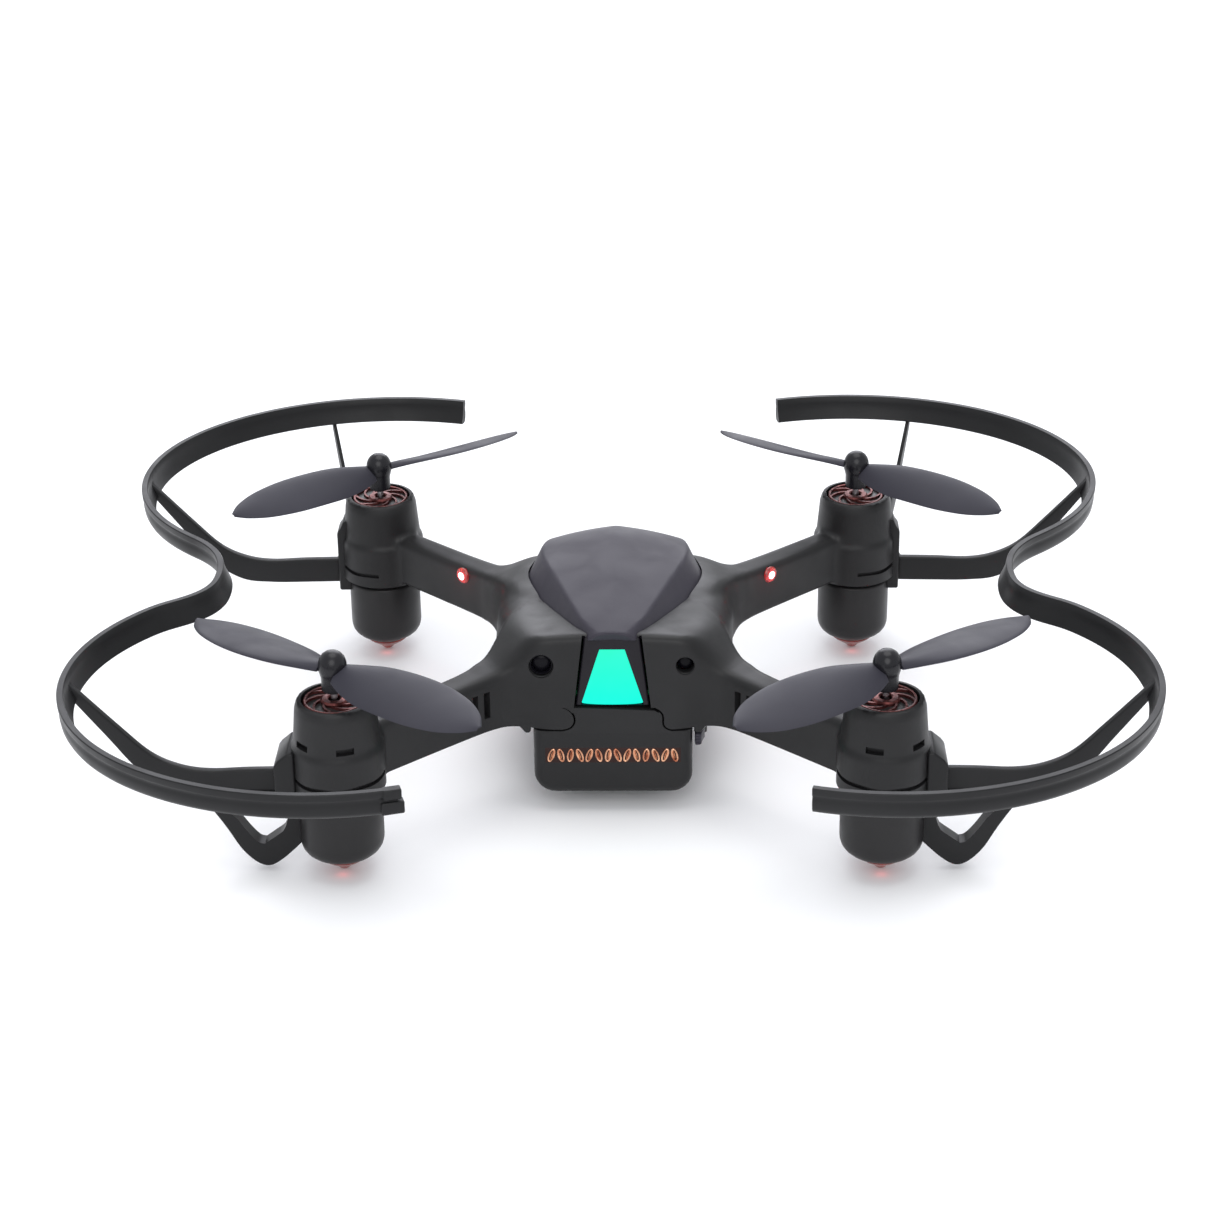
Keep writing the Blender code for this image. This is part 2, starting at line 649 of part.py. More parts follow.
def contact_strip(pads=12, half=9.8):
    """A flat bar with a row of raised pads."""
    back, floor, top = BATTERY_FRONT + 0.55, BATTERY_FRONT + 0.3, BATTERY_FRONT + 0.05
    pitch = 2 * half / pads
    outline = [(half, back), (-half, back), (-half, floor)]
    for i in range(pads):
        middle = -half + pitch * (i + 0.5)
        outline += [(middle - 0.5, floor), (middle - 0.5, top), (middle + 0.5, top), (middle + 0.5, floor)]
    outline.append((half, floor))
    return prism(outline, 8.6, 10.9)


def battery_latch(black):
    """A sprung tab beside the battery's front. Its vertical pin turns in two lugs of the lower shell."""
    arm = ((-0.6, 0.9), (0.6, 0.9), (0.6, -5.2))
    tip = ((1.1, -6.4), (1.0, -7.6), (-0.9, -7.6), (-0.95, -6.2), (-0.6, -5.4))
    outline = arm + tip
    latch = finish("battery_latch", prism(outline, 11.0, 12.8), black, (*LATCH_PIN, 0))
    fuse(latch, helper("latch_pin", disc(0.4, 9.95, 13.9, 10), (*LATCH_PIN, 0)))


# ---------------------------------------------------------------- electronics


def electronics(board, chip, shield, wire):
    finish("main_board", box((-8.6, -13.5, BOARD_LOW), (8.6, 19.0, BOARD_HIGH)), board)
    finish("processor_chip", box((-3.2, -3.2, BOARD_HIGH + GAP), (3.2, 3.2, BOARD_HIGH + 1.3)), chip)
    finish("receiver_module", box((-5.0, 8.5, BOARD_HIGH + GAP), (3.0, 15.5, BOARD_HIGH + 1.9)), shield)
    rise = ((5.4, 13.5, 18.0), (5.4, 13.5, 19.6), (5.4, 11.0, 20.9))
    route = (*rise, (5.4, 4.0, 21.0), (5.4, -5.0, 21.0), (5.0, -11.0, 20.6))
    tube("antenna", smooth_run(route, 2), 0.35, wire)
    for corner, x, y in SCREW_SPOTS:
        low = HULL_BOTTOM + 0.1
        head = ((0.0, low + 0.05), (1.25, low + 0.05), (1.25, low + 0.5), (0.55, low + 0.55))
        finish(f"belly_screw_{corner}", turned((*head, (0.55, 19.0), (0.0, 19.3)), 10), shield, (x, y, 0))


def tube(name, points, radius, made_of):
    """A cord as a bevelled curve with filled ends."""
    curve = bpy.data.curves.new(name, "CURVE")
    curve.dimensions = "3D"
    curve.bevel_depth = radius * MM
    curve.bevel_resolution = 1
    curve.use_fill_caps = True
    spline = curve.splines.new("POLY")
    spline.points.add(len(points) - 1)
    for target, point in zip(spline.points, points):
        target.co = (*[value * MM for value in point], 1.0)
    curve.materials.append(made_of)
    obj = bpy.data.objects.new(name, curve)
    bpy.context.scene.collection.objects.link(obj)


def motor_leads(corner, sx, sy, wire):
    """The two leads of a motor as one cord, from its can along the arm to the main board."""
    straight = [(distance, WIRE_Z) for distance in (ARM_LENGTH - CAN_RADIUS - 0.7, 40.0, 30.0, 20.0, 14.0)]
    route = [(*along_arm(sx, sy, distance), z) for distance, z in (*straight, (10.5, 18.0))]
    tube(f"motor_leads_{corner}", smooth_run(route, 2), 0.5, wire)


# ---------------------------------------------------------------- pods


def pod(corner, sx, sy, made):
    at = pod_centre(sx, sy)
    cup = (
        (CAP_RADIUS, CAP_TOP),
        (CAP_RADIUS, 6.2),
        (5.5, 4.4),
        (4.4, 3.0),
        (3.0, 2.0),
        (1.8, 1.7),
        (1.8, 3.2),
        (3.9, 3.8),
        (5.1, 6.4),
        (5.1, CAP_TOP),
    )
    finish(f"pod_cap_{corner}", turned(cup, HOUSING_ROUND), made["black"], at)
    tip = ((0.0, 0.0), (0.7, 0.0), (1.25, 0.4), (1.5, 1.1), (1.5, 3.9))
    collar = ((3.2, 3.9), (3.2, 4.8), (0.0, 4.8))
    finish(f"foot_light_{corner}", turned(tip + collar), made["red"], at)
    can = (
        (0.0, CAN_BOTTOM - 0.5),
        (1.1, CAN_BOTTOM - 0.5),
        (1.1, CAN_BOTTOM),
        (CAN_RADIUS - 0.3, CAN_BOTTOM),
        (CAN_RADIUS, CAN_BOTTOM + 0.3),
        (CAN_RADIUS, CAN_TOP),
        (0.8, CAN_TOP),
        (0.8, CAN_TOP - 1.2),
        (0.0, CAN_TOP - 1.2),
    )
    finish(f"motor_can_{corner}", turned(can), made["steel"], at)
    low = CAN_TOP + GAP
    plate = ((0.9, low), (4.5, low), (4.5, low + 0.5), (2.6, low + 0.7), (2.2, low + 1.0), (0.9, low + 1.0))
    finish(f"motor_plate_{corner}", turned(plate), made["copper"], at)


def propeller(corner, sx, sy, made):
    at = pod_centre(sx, sy)
    finish(f"shaft_{corner}", disc(SHAFT_RADIUS, CAN_TOP - 0.9, BLADE_Z - 0.2, 12), made["steel"], at)
    outside = ((0.8, 29.2), (1.5, 29.2), (1.5, 30.8), (2.1, 32.0), (2.1, 33.5), (1.6, 34.7), (0.8, 35.2))
    shaft_bore = ((0.0, HUB_TOP), (0.0, BLADE_Z + 0.1), (0.8, BLADE_Z + 0.1))
    made_hub = finish(f"propeller_{corner}", turned(outside + shaft_bore, 12), made["grey"], at)
    spin = sx * sy
    first = -spin * math.radians(BLADE_REST_ANGLE)
    fuse(made_hub, *[helper(f"blade_{corner}_{i}", blade(first + math.pi * i, spin), at) for i in range(2)])


def blade(angle, spin):
    """One twisted blade along the given direction. spin is 1 where the propeller turns anticlockwise."""
    rings = []
    for fraction, chord, pitch, thickness, sweep in BLADE_ROWS:
        radius = fraction * BLADE_RADIUS
        turn = math.radians(pitch)
        section = ((-0.5, 0.0), (-0.2, 0.5), (0.2, 0.5), (0.5, 0.0), (0.2, -0.3), (-0.2, -0.3))
        ring = []
        for along, up in section:
            across = along * chord + sweep
            rise = up * thickness
            side = across * math.cos(turn) - rise * math.sin(turn)
            z = BLADE_Z + across * math.sin(turn) + rise * math.cos(turn)
            point = Matrix.Rotation(angle, 3, "Z") @ Vector((radius, spin * side, z))
            ring.append(tuple(point))
        rings.append(ring)
    return loft(rings)


# ---------------------------------------------------------------- guards


def rim_half(steps=RIM_STEPS):
    """The rim's front half on the left side, in plan, from its free end to the waist."""
    start = -math.acos((MOTOR_X - RIM_END_X) / RIM_X)
    leave = -math.tau + math.acos(-(WAIST_LEAVE_X - MOTOR_X) / RIM_X)
    run = []
    for i in range(steps + 1):
        angle = start + (leave - start) * i / steps
        run.append((RIM_X * math.cos(angle) - MOTOR_X, RIM_Y * math.sin(angle) - MOTOR_Y))
    dx, dy = run[-1][0] - run[-2][0], run[-1][1] - run[-2][1]
    size = math.hypot(dx, dy)
    first, last = run[-1], (-WAIST_X, 0.0)
    handle_a = (first[0] + dx / size * WAIST_HANDLES[0], first[1] + dy / size * WAIST_HANDLES[0])
    handle_b = (last[0], last[1] - WAIST_HANDLES[1])
    for i in range(1, WAIST_STEPS + 1):
        t = i / WAIST_STEPS
        s = 1.0 - t
        shares = (s**3, 3 * s * s * t, 3 * s * t * t, t**3)
        corners = (first, handle_a, handle_b, last)
        run.append(tuple(sum(share * point[k] for share, point in zip(shares, corners)) for k in (0, 1)))
    return run


def guard_path():
    half = rim_half()
    return half + [(x, -y) for x, y in reversed(half[:-1])]


def ribbon(sx):
    """The dished ribbon, swept along the rim."""
    path = guard_path()
    rings = []
    for i, (x, y) in enumerate(path):
        before, after = path[max(i - 1, 0)], path[min(i + 1, len(path) - 1)]
        dx, dy = after[0] - before[0], after[1] - before[1]
        size = math.hypot(dx, dy)
        nx, ny = -dy / size, dx / size
        rings.append([(-sx * (x + out * nx), y + out * ny, z) for out, z in RIBBON])
    return loft(rings)


def strut(sx, sy, turn=0.0, reach=1.0, thickness=STRUT_THICKNESS):
    """A curved strut from a pod to the ribbon. turn is its angle from the side, reach scales its length."""
    outline = smooth_run(STRUT_TOP) + smooth_run(STRUT_LOW)
    outline = [(STRUT_START + (u - STRUT_START) * reach, z) for u, z in outline]
    bm = prism(outline, -thickness / 2, thickness / 2, "XZ")
    place_at_pod(bm, sx, sy, turn)
    return bm


def place_at_pod(bm, sx, sy, turn=0.0):
    """Turns a shape drawn outward along +X about a pod's axis, and puts it at that pod."""
    bm.transform(Matrix.Rotation(math.radians(turn), 4, "Z"))
    bm.transform(Matrix.Diagonal((sx, sy, 1.0, 1.0)))
    bm.transform(Matrix.Translation((sx * MOTOR_X, sy * MOTOR_Y, 0.0)))


def clip_block(sx, sy):
    """The upright block beside a pod that holds the guard."""
    low, inner = 11.6, HOUSING_RADIUS + GAP
    outer, top = CLIP_OUT[sy], CLIP_TOP[sy]
    outline = ((inner, low), (outer, low), (outer, top - 1.2), (outer - 0.8, top), (inner, top))
    bm = prism(outline, -2.4, 2.4, "XZ")
    place_at_pod(bm, sx, sy)
    return bm


def landing_loop(sx, sy, outline, half_depth):
    bm = prism(outline, -half_depth, half_depth, "XZ")
    place_at_pod(bm, sx, sy)
    return bm


def guard(side, sx, black):
    name = f"guard_{side}"
    made = finish(name, ribbon(sx), black)
    brace_reach = (RIM_Y + 0.4 - STRUT_START) / (RIM_X - STRUT_START)
    added = [
        helper(f"{name}_brace", strut(sx, 1, 90.0 - BRACE_ANGLE, brace_reach, BRACE_THICKNESS)),
        helper(f"{name}_brace_foot", brace_foot(sx)),
        helper(f"{name}_loop", landing_loop(sx, -1, LOOP_OUTER, LOOP_DEPTH / 2)),
    ]
    for end, sy in (("front", -1), ("rear", 1)):
        added.append(helper(f"{name}_strut_{end}", strut(sx, sy)))
        added.append(helper(f"{name}_clip_{end}", clip_block(sx, sy)))
    fuse(made, *added)
    cut(made, helper(f"{name}_loop_hole", landing_loop(sx, -1, LOOP_HOLE, LOOP_DEPTH)))


def brace_foot(sx, steps=6):
    """A collar round the outer rear quarter of the rear pod, which joins the brace to the side strut."""
    low, high = 12.6, 16.2
    inner, outer = HOUSING_RADIUS + GAP, HOUSING_RADIUS + 1.5
    end = 90.0 - BRACE_ANGLE + 4.0
    section = ((inner, low), (outer, low), (outer, high), (inner, high))
    rings = []
    for i in range(steps + 1):
        angle = math.radians(end * i / steps)
        rings.append([(radius * math.cos(angle), radius * math.sin(angle), z) for radius, z in section])
    bm = loft(rings)
    place_at_pod(bm, sx, 1)
    return bm


# ---------------------------------------------------------------- assembly


def clear_scene():
    for obj in list(bpy.data.objects):
        bpy.data.objects.remove(obj, do_unlink=True)


def main():
    clear_scene()
    made = {
        "black": material("matte_black", BLACK, 0.55),
        "grey": material("satin_grey", GREY, 0.42),
        "copper": material("copper", COPPER, 0.35, 0.9),
        "steel": material("motor_steel", (0.45, 0.45, 0.47), 0.3, 1.0),
        "red": material("red_lens", (0.75, 0.08, 0.05), 0.2, 0.0, 0.6),
        "teal": material("teal_glow", (0.05, 0.95, 0.75), 0.3, 0.0, 2.0),
        "board": material("circuit_green", (0.02, 0.16, 0.07), 0.45),
        "chip": material("chip_black", (0.02, 0.02, 0.02), 0.4),
        "glass": material("lens_glass", (0.01, 0.01, 0.015), 0.08),
        "foil": material("cell_foil", (0.55, 0.56, 0.58), 0.35, 0.8),
        "plastic": material("white_plastic", (0.8, 0.78, 0.72), 0.5),
        "wire": material("wire_red", (0.45, 0.03, 0.02), 0.5),
    }
    upper_shell(made["black"])
    canopy(made["grey"])
    lower_shell(made["black"])
    front_light(made["black"], made["teal"], made["board"])
    camera(made["black"], made["glass"], made["board"])
    power_button(made["grey"])
    battery(made["black"], made["foil"], made["copper"], made["plastic"])
    battery_front(made["black"], made["copper"])
    battery_latch(made["grey"])
    electronics(made["board"], made["chip"], made["steel"], made["wire"])
    for corner, sx, sy in CORNERS:
        pod(corner, sx, sy, made)
        propeller(corner, sx, sy, made)
        motor_leads(corner, sx, sy, made["wire"])
        if sy > 0:
            finish(f"arm_light_{corner}", arm_light(sx, sy, 0.95, 1.0, 2.6), made["red"])
    for side, sx in SIDES:
        guard(side, sx, made["black"])


main()
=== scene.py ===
"""Looks of the mini palm drone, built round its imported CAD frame.

Shapes are drawn in millimetres, in the frame's own axes, and scaled to metres when their meshes are made.
"""

import json
import math

import bmesh
import bpy
import numpy as np
from mathutils import Matrix, Vector


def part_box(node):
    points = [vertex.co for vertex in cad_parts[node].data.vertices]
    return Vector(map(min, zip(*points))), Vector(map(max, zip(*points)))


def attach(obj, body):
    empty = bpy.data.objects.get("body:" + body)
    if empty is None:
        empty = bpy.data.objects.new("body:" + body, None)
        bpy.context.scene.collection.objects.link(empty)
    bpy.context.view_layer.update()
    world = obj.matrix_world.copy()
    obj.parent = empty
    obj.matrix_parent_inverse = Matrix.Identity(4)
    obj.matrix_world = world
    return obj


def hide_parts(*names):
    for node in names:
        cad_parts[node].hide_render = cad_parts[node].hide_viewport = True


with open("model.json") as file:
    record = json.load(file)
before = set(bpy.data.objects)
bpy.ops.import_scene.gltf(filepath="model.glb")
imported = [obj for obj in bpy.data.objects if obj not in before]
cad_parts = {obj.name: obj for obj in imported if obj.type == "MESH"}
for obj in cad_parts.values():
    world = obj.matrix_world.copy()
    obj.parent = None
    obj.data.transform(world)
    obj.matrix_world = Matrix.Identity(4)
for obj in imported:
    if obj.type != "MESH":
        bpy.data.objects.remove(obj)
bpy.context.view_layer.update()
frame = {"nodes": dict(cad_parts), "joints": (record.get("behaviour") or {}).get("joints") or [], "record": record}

MM = 0.001
WELD = 1e-4
SMOOTH_ANGLE = 32.0
# grid pitch of the surfaces drawn from distance fields
SHELL_PITCH, SPACE_PITCH = ((0.36, 0.6))
CANOPY_PITCH, SEAT_PITCH = ((0.26, 0.35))
CORNERS = (
    ("front_left", -1, -1),
    ("front_right", 1, -1),
    ("rear_left", -1, 1),
    ("rear_right", 1, 1),
)
SIDES = (("left", -1), ("right", 1))
SPIN_AT = {joint["name"]: joint["pos_m"] for joint in frame["joints"] if "spin" in joint["name"]}
MOTOR_X, MOTOR_Y = (abs(number) / MM for number in SPIN_AT["propeller_spin_front_right"][:2])
ARM_LENGTH = math.hypot(MOTOR_X, MOTOR_Y)


# ---- camera, floor and light

VIEW_AZIMUTH, VIEW_ELEVATION, VIEW_ROLL = 1.5196, 25.779, -0.855
VIEW_TARGET = Vector((-1.537, 0.0, 25.17))
VIEW_DISTANCE = 432.97
VIEW_LENS, VIEW_SENSOR = 84.24, 36.0
RED, DULL_RED = (1.0, 0.06, 0.08), (1.0, 0.12, 0.10)
WORLD_COLOUR, WORLD_STRENGTH = (0.95, 0.97, 1.0, 1.0), 0.88
FLOOR_HALF = 3.0
SOFTBOX_AIM = Vector((0.0, 0.0, 0.02))
# name, place in metres, size, watts, colour
SOFTBOXES = (
    ("key", (0.05, 0.2, 1.5), 1.3, 9.5, (1.0, 1.0, 1.0)),
    ("back_softbox", (0.0, 1.25, 0.75), 1.3, 10.0, (0.93, 0.93, 1.0)),
    ("front_fill", (0.0, -1.3, 0.9), 1.2, 8.0, (1.0, 1.0, 1.0)),
)
# watts and radius of the red lights under the feet and before the arm lamps
FOOT_GLOW, ARM_GLOW = (0.000016, 0.6), (0.0005, 0.4)
ARM_GLOW_OUT = 4.0


def add_camera():
    azimuth, elevation, roll = (math.radians(a) for a in (VIEW_AZIMUTH, VIEW_ELEVATION, VIEW_ROLL))
    flat = math.cos(elevation)
    back = Vector((math.sin(azimuth) * flat, -math.cos(azimuth) * flat, math.sin(elevation)))
    level = Vector((math.cos(azimuth), math.sin(azimuth), 0.0))
    rise = back.cross(level)
    right = math.cos(roll) * level + math.sin(roll) * rise
    up = math.cos(roll) * rise - math.sin(roll) * level
    data = bpy.data.cameras.new("camera")
    data.lens = VIEW_LENS
    data.sensor_width = VIEW_SENSOR
    data.clip_start = 0.01
    camera = bpy.data.objects.new("camera", data)
    camera.matrix_world = Matrix((right, up, back)).transposed().to_4x4()
    camera.location = (VIEW_TARGET + back * VIEW_DISTANCE) * MM
    bpy.context.scene.collection.objects.link(camera)
    bpy.context.scene.camera = camera


def add_light(name, location, size, energy, colour):
    data = bpy.data.lights.new(name, "AREA")
    data.shape = "DISK"
    data.size = size
    data.energy = energy
    data.color = colour
    light = bpy.data.objects.new(name, data)
    light.location = location
    light.rotation_euler = (SOFTBOX_AIM - Vector(location)).to_track_quat("-Z", "Y").to_euler()
    bpy.context.scene.collection.objects.link(light)


def add_glow_light(name, location, colour, energy, radius):
    data = bpy.data.lights.new(name, "POINT")
    data.energy = energy
    data.color = colour
    data.shadow_soft_size = radius * MM
    light = bpy.data.objects.new(name, data)
    light.location = [number * MM for number in location]
    light.visible_glossy = False
    bpy.context.scene.collection.objects.link(light)


def add_studio():
    scene = bpy.context.scene
    scene.view_settings.view_transform = "Standard"
    world = bpy.data.worlds.new("studio")
    world.use_nodes = True
    sky = world.node_tree.nodes["Background"]
    sky.inputs["Color"].default_value = WORLD_COLOUR
    sky.inputs["Strength"].default_value = WORLD_STRENGTH
    scene.world = world
    bm = bmesh.new()
    bmesh.ops.create_grid(bm, x_segments=1, y_segments=1, size=FLOOR_HALF)
    mesh = bpy.data.meshes.new("floor")
    bm.to_mesh(mesh)
    bm.free()
    floor = bpy.data.objects.new("floor", mesh)
    scene.collection.objects.link(floor)
    mesh.materials.append(floor_paper())
    for softbox in SOFTBOXES:
        add_light(*softbox)
    for corner, sx, sy in CORNERS:
        at = (sx * MOTOR_X, sy * MOTOR_Y - 2.2, 0.8)
        add_glow_light(f"foot_glow_{corner}", at, DULL_RED, *FOOT_GLOW)
        if sy > 0:
            at = (*along_arm(sx, sy, ARM_LIGHT_AT, -ARM_GLOW_OUT), ARM_LIGHT_Z)
            add_glow_light(f"arm_glow_{corner}", at, RED, *ARM_GLOW)


# ---- materials


class Look:
    """A node material under construction."""

    def __init__(self, name, colour, roughness, metallic=0.0):
        self.material = bpy.data.materials.new(name)
        self.material.use_nodes = True
        self.material.diffuse_color = (*colour, 1.0)
        self.tree = self.material.node_tree
        self.shader = self.tree.nodes["Principled BSDF"]
        self.shader.inputs["Base Color"].default_value = (*colour, 1.0)
        self.shader.inputs["Roughness"].default_value = roughness
        self.shader.inputs["Metallic"].default_value = metallic
        self.place = self.tree.nodes.new("ShaderNodeTexCoord").outputs["Object"]
        self.normal = None

    def add(self, kind, **settings):
        node = self.tree.nodes.new(kind)
        for name, value in settings.items():
            setattr(node, name, value)
        return node

    def link(self, output, socket):
        self.tree.links.new(output, socket)

    def noise(self, scale, detail=3.0, distortion=0.0, stretch=None):
        node = self.add("ShaderNodeTexNoise")
        node.inputs["Scale"].default_value = scale
        node.inputs["Detail"].default_value = detail
        node.inputs["Distortion"].default_value = distortion
        if stretch is None:
            self.link(self.place, node.inputs["Vector"])
        else:
            mapping = self.add("ShaderNodeMapping")
            mapping.inputs["Scale"].default_value = stretch
            self.link(self.place, mapping.inputs["Vector"])
            self.link(mapping.outputs["Vector"], node.inputs["Vector"])
        return node.outputs["Fac"]

    def spread(self, factor, low, high, at=(0.3, 0.7)):
        """A factor carried onto the range low to high."""
        node = self.add("ShaderNodeMapRange")
        node.inputs["From Min"].default_value, node.inputs["From Max"].default_value = at
        node.inputs["To Min"].default_value, node.inputs["To Max"].default_value = low, high
        self.link(factor, node.inputs["Value"])
        return node.outputs["Result"]

    def blend(self, factor, first, second):
        """A mix of two colours, each a colour or an output."""
        node = self.add("ShaderNodeMix", data_type="RGBA")
        self.link(factor, node.inputs["Factor"])
        for socket, value in ((node.inputs[6], first), (node.inputs[7], second)):
            if isinstance(value, tuple):
                socket.default_value = (*value, 1.0)
            else:
                self.link(value, socket)
        return node.outputs[2]

    def bump(self, height, strength, distance):
        node = self.add("ShaderNodeBump")
        node.inputs["Strength"].default_value = strength
        node.inputs["Distance"].default_value = distance
        self.link(height, node.inputs["Height"])
        if self.normal is not None:
            self.link(self.normal, node.inputs["Normal"])
        self.normal = node.outputs["Normal"]
        self.link(self.normal, self.shader.inputs["Normal"])

    def set(self, **sockets):
        for name, value in sockets.items():
            socket = self.shader.inputs[name.replace("_", " ")]
            if hasattr(value, "node"):
                self.link(value, socket)
            else:
                socket.default_value = value


def floor_paper():
    look = Look("floor_paper", (0.93, 0.93, 0.94), 0.9)
    look.set(Roughness=look.spread(look.noise(6.0), 0.85, 0.95))
    look.set(Specular_IOR_Level=0.1)
    return look.material


def moulded(name, dark, light, roughness, grain=0.25, gloss=0.45):
    """Spark-eroded plastic: a fine grain, cloudy colour, and rubbed spots that shine a little more."""
    look = Look(name, dark, roughness)
    cloud = look.noise(55.0, 4.0)
    look.set(Base_Color=look.blend(look.spread(cloud, 0.0, 1.0), dark, light))
    rubbed = look.noise(160.0, 5.0, 0.4)
    look.set(Roughness=look.spread(rubbed, roughness - 0.06, roughness + 0.07))
    look.set(Specular_IOR_Level=gloss)
    look.bump(look.noise(5200.0, 2.0), grain, 0.00004)
    look.bump(look.noise(240.0, 2.0), 0.05, 0.0001)
    return look.material


def mottled(finish, cloud, tones, shine, roughness, grain, bump, **uniform):
    """A clouded colour, an uneven shine and a fine grain. cloud, shine and grain are noise settings."""
    name, colour, metallic = finish
    look = Look(name, colour, roughness[0], metallic)
    look.set(Base_Color=look.blend(look.spread(look.noise(*cloud), 0.0, 1.0), *tones))
    look.set(Roughness=look.spread(look.noise(*shine), *roughness))
    look.bump(look.noise(*grain), *bump)
    look.set(**uniform)
    return look.material


def red_lens(name, strength):
    """A clear red lens, softly lit from inside."""
    finish = (name, (0.14, 0.016, 0.013), 0.0)
    cloud, tones = (700.0, 2.0), ((0.10, 0.014, 0.011), (0.18, 0.026, 0.02))
    glow = {"Emission_Color": (0.85, 0.02, 0.04, 1.0), "Emission_Strength": strength}
    depth = {"Subsurface_Weight": 0.25, "Coat_Weight": 0.3}
    return mottled(finish, cloud, tones, cloud, (0.14, 0.26), (1400.0,), (0.1, 0.00005), **glow, **depth)


def led_core():
    """The lit heart of an arm light."""
    look = Look("led_core", (0.9, 0.5, 0.5), 0.25)
    cloud = look.spread(look.noise(900.0, 2.0), 0.0, 0.3)
    look.set(Emission_Color=look.blend(cloud, (1.0, 0.8, 0.83), (1.0, 0.62, 0.66)), Emission_Strength=2.4)
    look.set(Roughness=look.spread(look.noise(1500.0), 0.2, 0.3))
    look.bump(look.noise(2000.0), 0.05, 0.00003)
    return look.material


def teal_glow():
    """A frosted window lit from behind, greener towards its narrow top."""
    look = Look("teal_glow", (0.002, 0.05, 0.04), 0.35)
    low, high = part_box("light_window")
    look.set(Specular_IOR_Level=0.08)
    split = look.add("ShaderNodeSeparateXYZ")
    look.link(look.place, split.inputs["Vector"])
    rise = look.spread(split.outputs["Z"], 0.0, 1.0, (low.z, high.z))
    glow = look.blend(rise, (0.001, 0.97, 0.74), (0.03, 0.97, 0.60))
    cloud = look.spread(look.noise(420.0, 2.0), 0.0, 0.12)
    look.set(Emission_Color=look.blend(cloud, glow, (0.05, 1.0, 0.8)), Emission_Strength=1.0)
    look.set(Roughness=look.spread(look.noise(900.0), 0.3, 0.42))
    look.bump(look.noise(1300.0), 0.08, 0.00005)
    return look.material


def circuit_board():
    look = Look("circuit_board", (0.02, 0.16, 0.07), 0.4)
    tracks = look.add("ShaderNodeTexBrick")
    tracks.inputs["Scale"].default_value = 260.0
    tracks.inputs["Color1"].default_value = (0.015, 0.13, 0.05, 1.0)
    tracks.inputs["Color2"].default_value = (0.02, 0.17, 0.07, 1.0)
    tracks.inputs["Mortar"].default_value = (0.06, 0.28, 0.12, 1.0)
    tracks.inputs["Mortar Size"].default_value = 0.03
    look.link(look.place, tracks.inputs["Vector"])
    look.set(Base_Color=tracks.outputs["Color"])
    look.set(Roughness=look.spread(look.noise(400.0), 0.3, 0.5))
    look.bump(tracks.outputs["Fac"], 0.2, 0.00003)
    return look.material


BRUSHED, CREASED = (900.0, 3.0, 0.0, (0.1, 0.1, 4.0)), (240.0, 5.0, 0.8)
# darker and lighter colour, roughness, grain, gloss
MOULDED = {
    "matte_black": ((0.0105, 0.0104, 0.0109), (0.015, 0.0148, 0.0156), 0.44, 0.25, 0.26),
    "guard_black": ((0.011, 0.011, 0.0116), (0.0145, 0.0145, 0.0152), 0.38, 0.15, 0.2),
    "satin_grey": ((0.036, 0.033, 0.044), (0.043, 0.040, 0.052), 0.45, 0.16, 0.15),
    # the blades are the hub's dark plastic; their lighter grey is painted sheen from grazing light
    "blade_painted_sheen": ((0.030, 0.029, 0.038), (0.037, 0.036, 0.047), 0.42, 0.1, 0.12),
    "hub_black": ((0.007, 0.0068, 0.009), (0.011, 0.0105, 0.0135), 0.26, 0.1, 0.3),
    "cap_black": ((0.012, 0.0115, 0.012), (0.017, 0.0162, 0.017), 0.4, 0.2, 0.28),
    "bezel_black": ((0.008, 0.007, 0.010), (0.012, 0.010, 0.014), 0.4, 0.1, 0.22),
    "contact_bed": ((0.018, 0.008, 0.007), (0.032, 0.012, 0.010), 0.4, 0.2, 0.2),
    "chip_black": ((0.018, 0.018, 0.018), (0.026, 0.026, 0.026), 0.42, 0.25, 0.45),
    "white_plastic": ((0.74, 0.72, 0.66), (0.8, 0.78, 0.72), 0.5, 0.25, 0.45),
}
# material's name, colour and metallic; cloud; two tones; shine; roughness; grain; bump strength and depth
MOTTLED = {
    "copper": (
        ("copper_plate", (0.20, 0.055, 0.04), 0.85), (900.0, 4.0, 1.2),
        ((0.06, 0.018, 0.018), (0.20, 0.06, 0.055)), (1800.0,), (0.28, 0.5), (1500.0, 3.0), (0.3, 0.0001),
    ),
    "copper_pad": (
        ("copper_pad", (0.7, 0.3, 0.16), 0.55), (700.0, 4.0), ((0.45, 0.13, 0.06), (0.95, 0.55, 0.34)),
        (1500.0,), (0.22, 0.42), (2500.0,), (0.2, 0.00005),
    ),
    "motor_steel": (
        ("motor_steel", (0.5, 0.5, 0.52), 1.0), BRUSHED, ((0.36, 0.36, 0.38), (0.62, 0.62, 0.64)),
        BRUSHED, (0.22, 0.4), BRUSHED, (0.15, 0.00004),
    ),
    "cell_foil": (
        ("cell_foil", (0.55, 0.56, 0.58), 0.8), CREASED, ((0.45, 0.46, 0.48), (0.66, 0.67, 0.69)),
        CREASED, (0.25, 0.5), CREASED, (0.4, 0.0003),
    ),
    "wire_red": (
        ("wire_red", (0.30, 0.03, 0.025), 0.0), (500.0,), ((0.20, 0.02, 0.018), (0.38, 0.05, 0.035)),
        (500.0,), (0.42, 0.6), (2400.0,), (0.2, 0.00005),
    ),
    "lens_glass": (
        ("lens_glass", (0.003, 0.003, 0.004), 0.0), (300.0,), ((0.002, 0.002, 0.003), (0.005, 0.0045, 0.007)),
        (800.0,), (0.2, 0.3), (900.0,), (0.02, 0.00003),
    ),
}
GLASS_GLOSS = 0.1


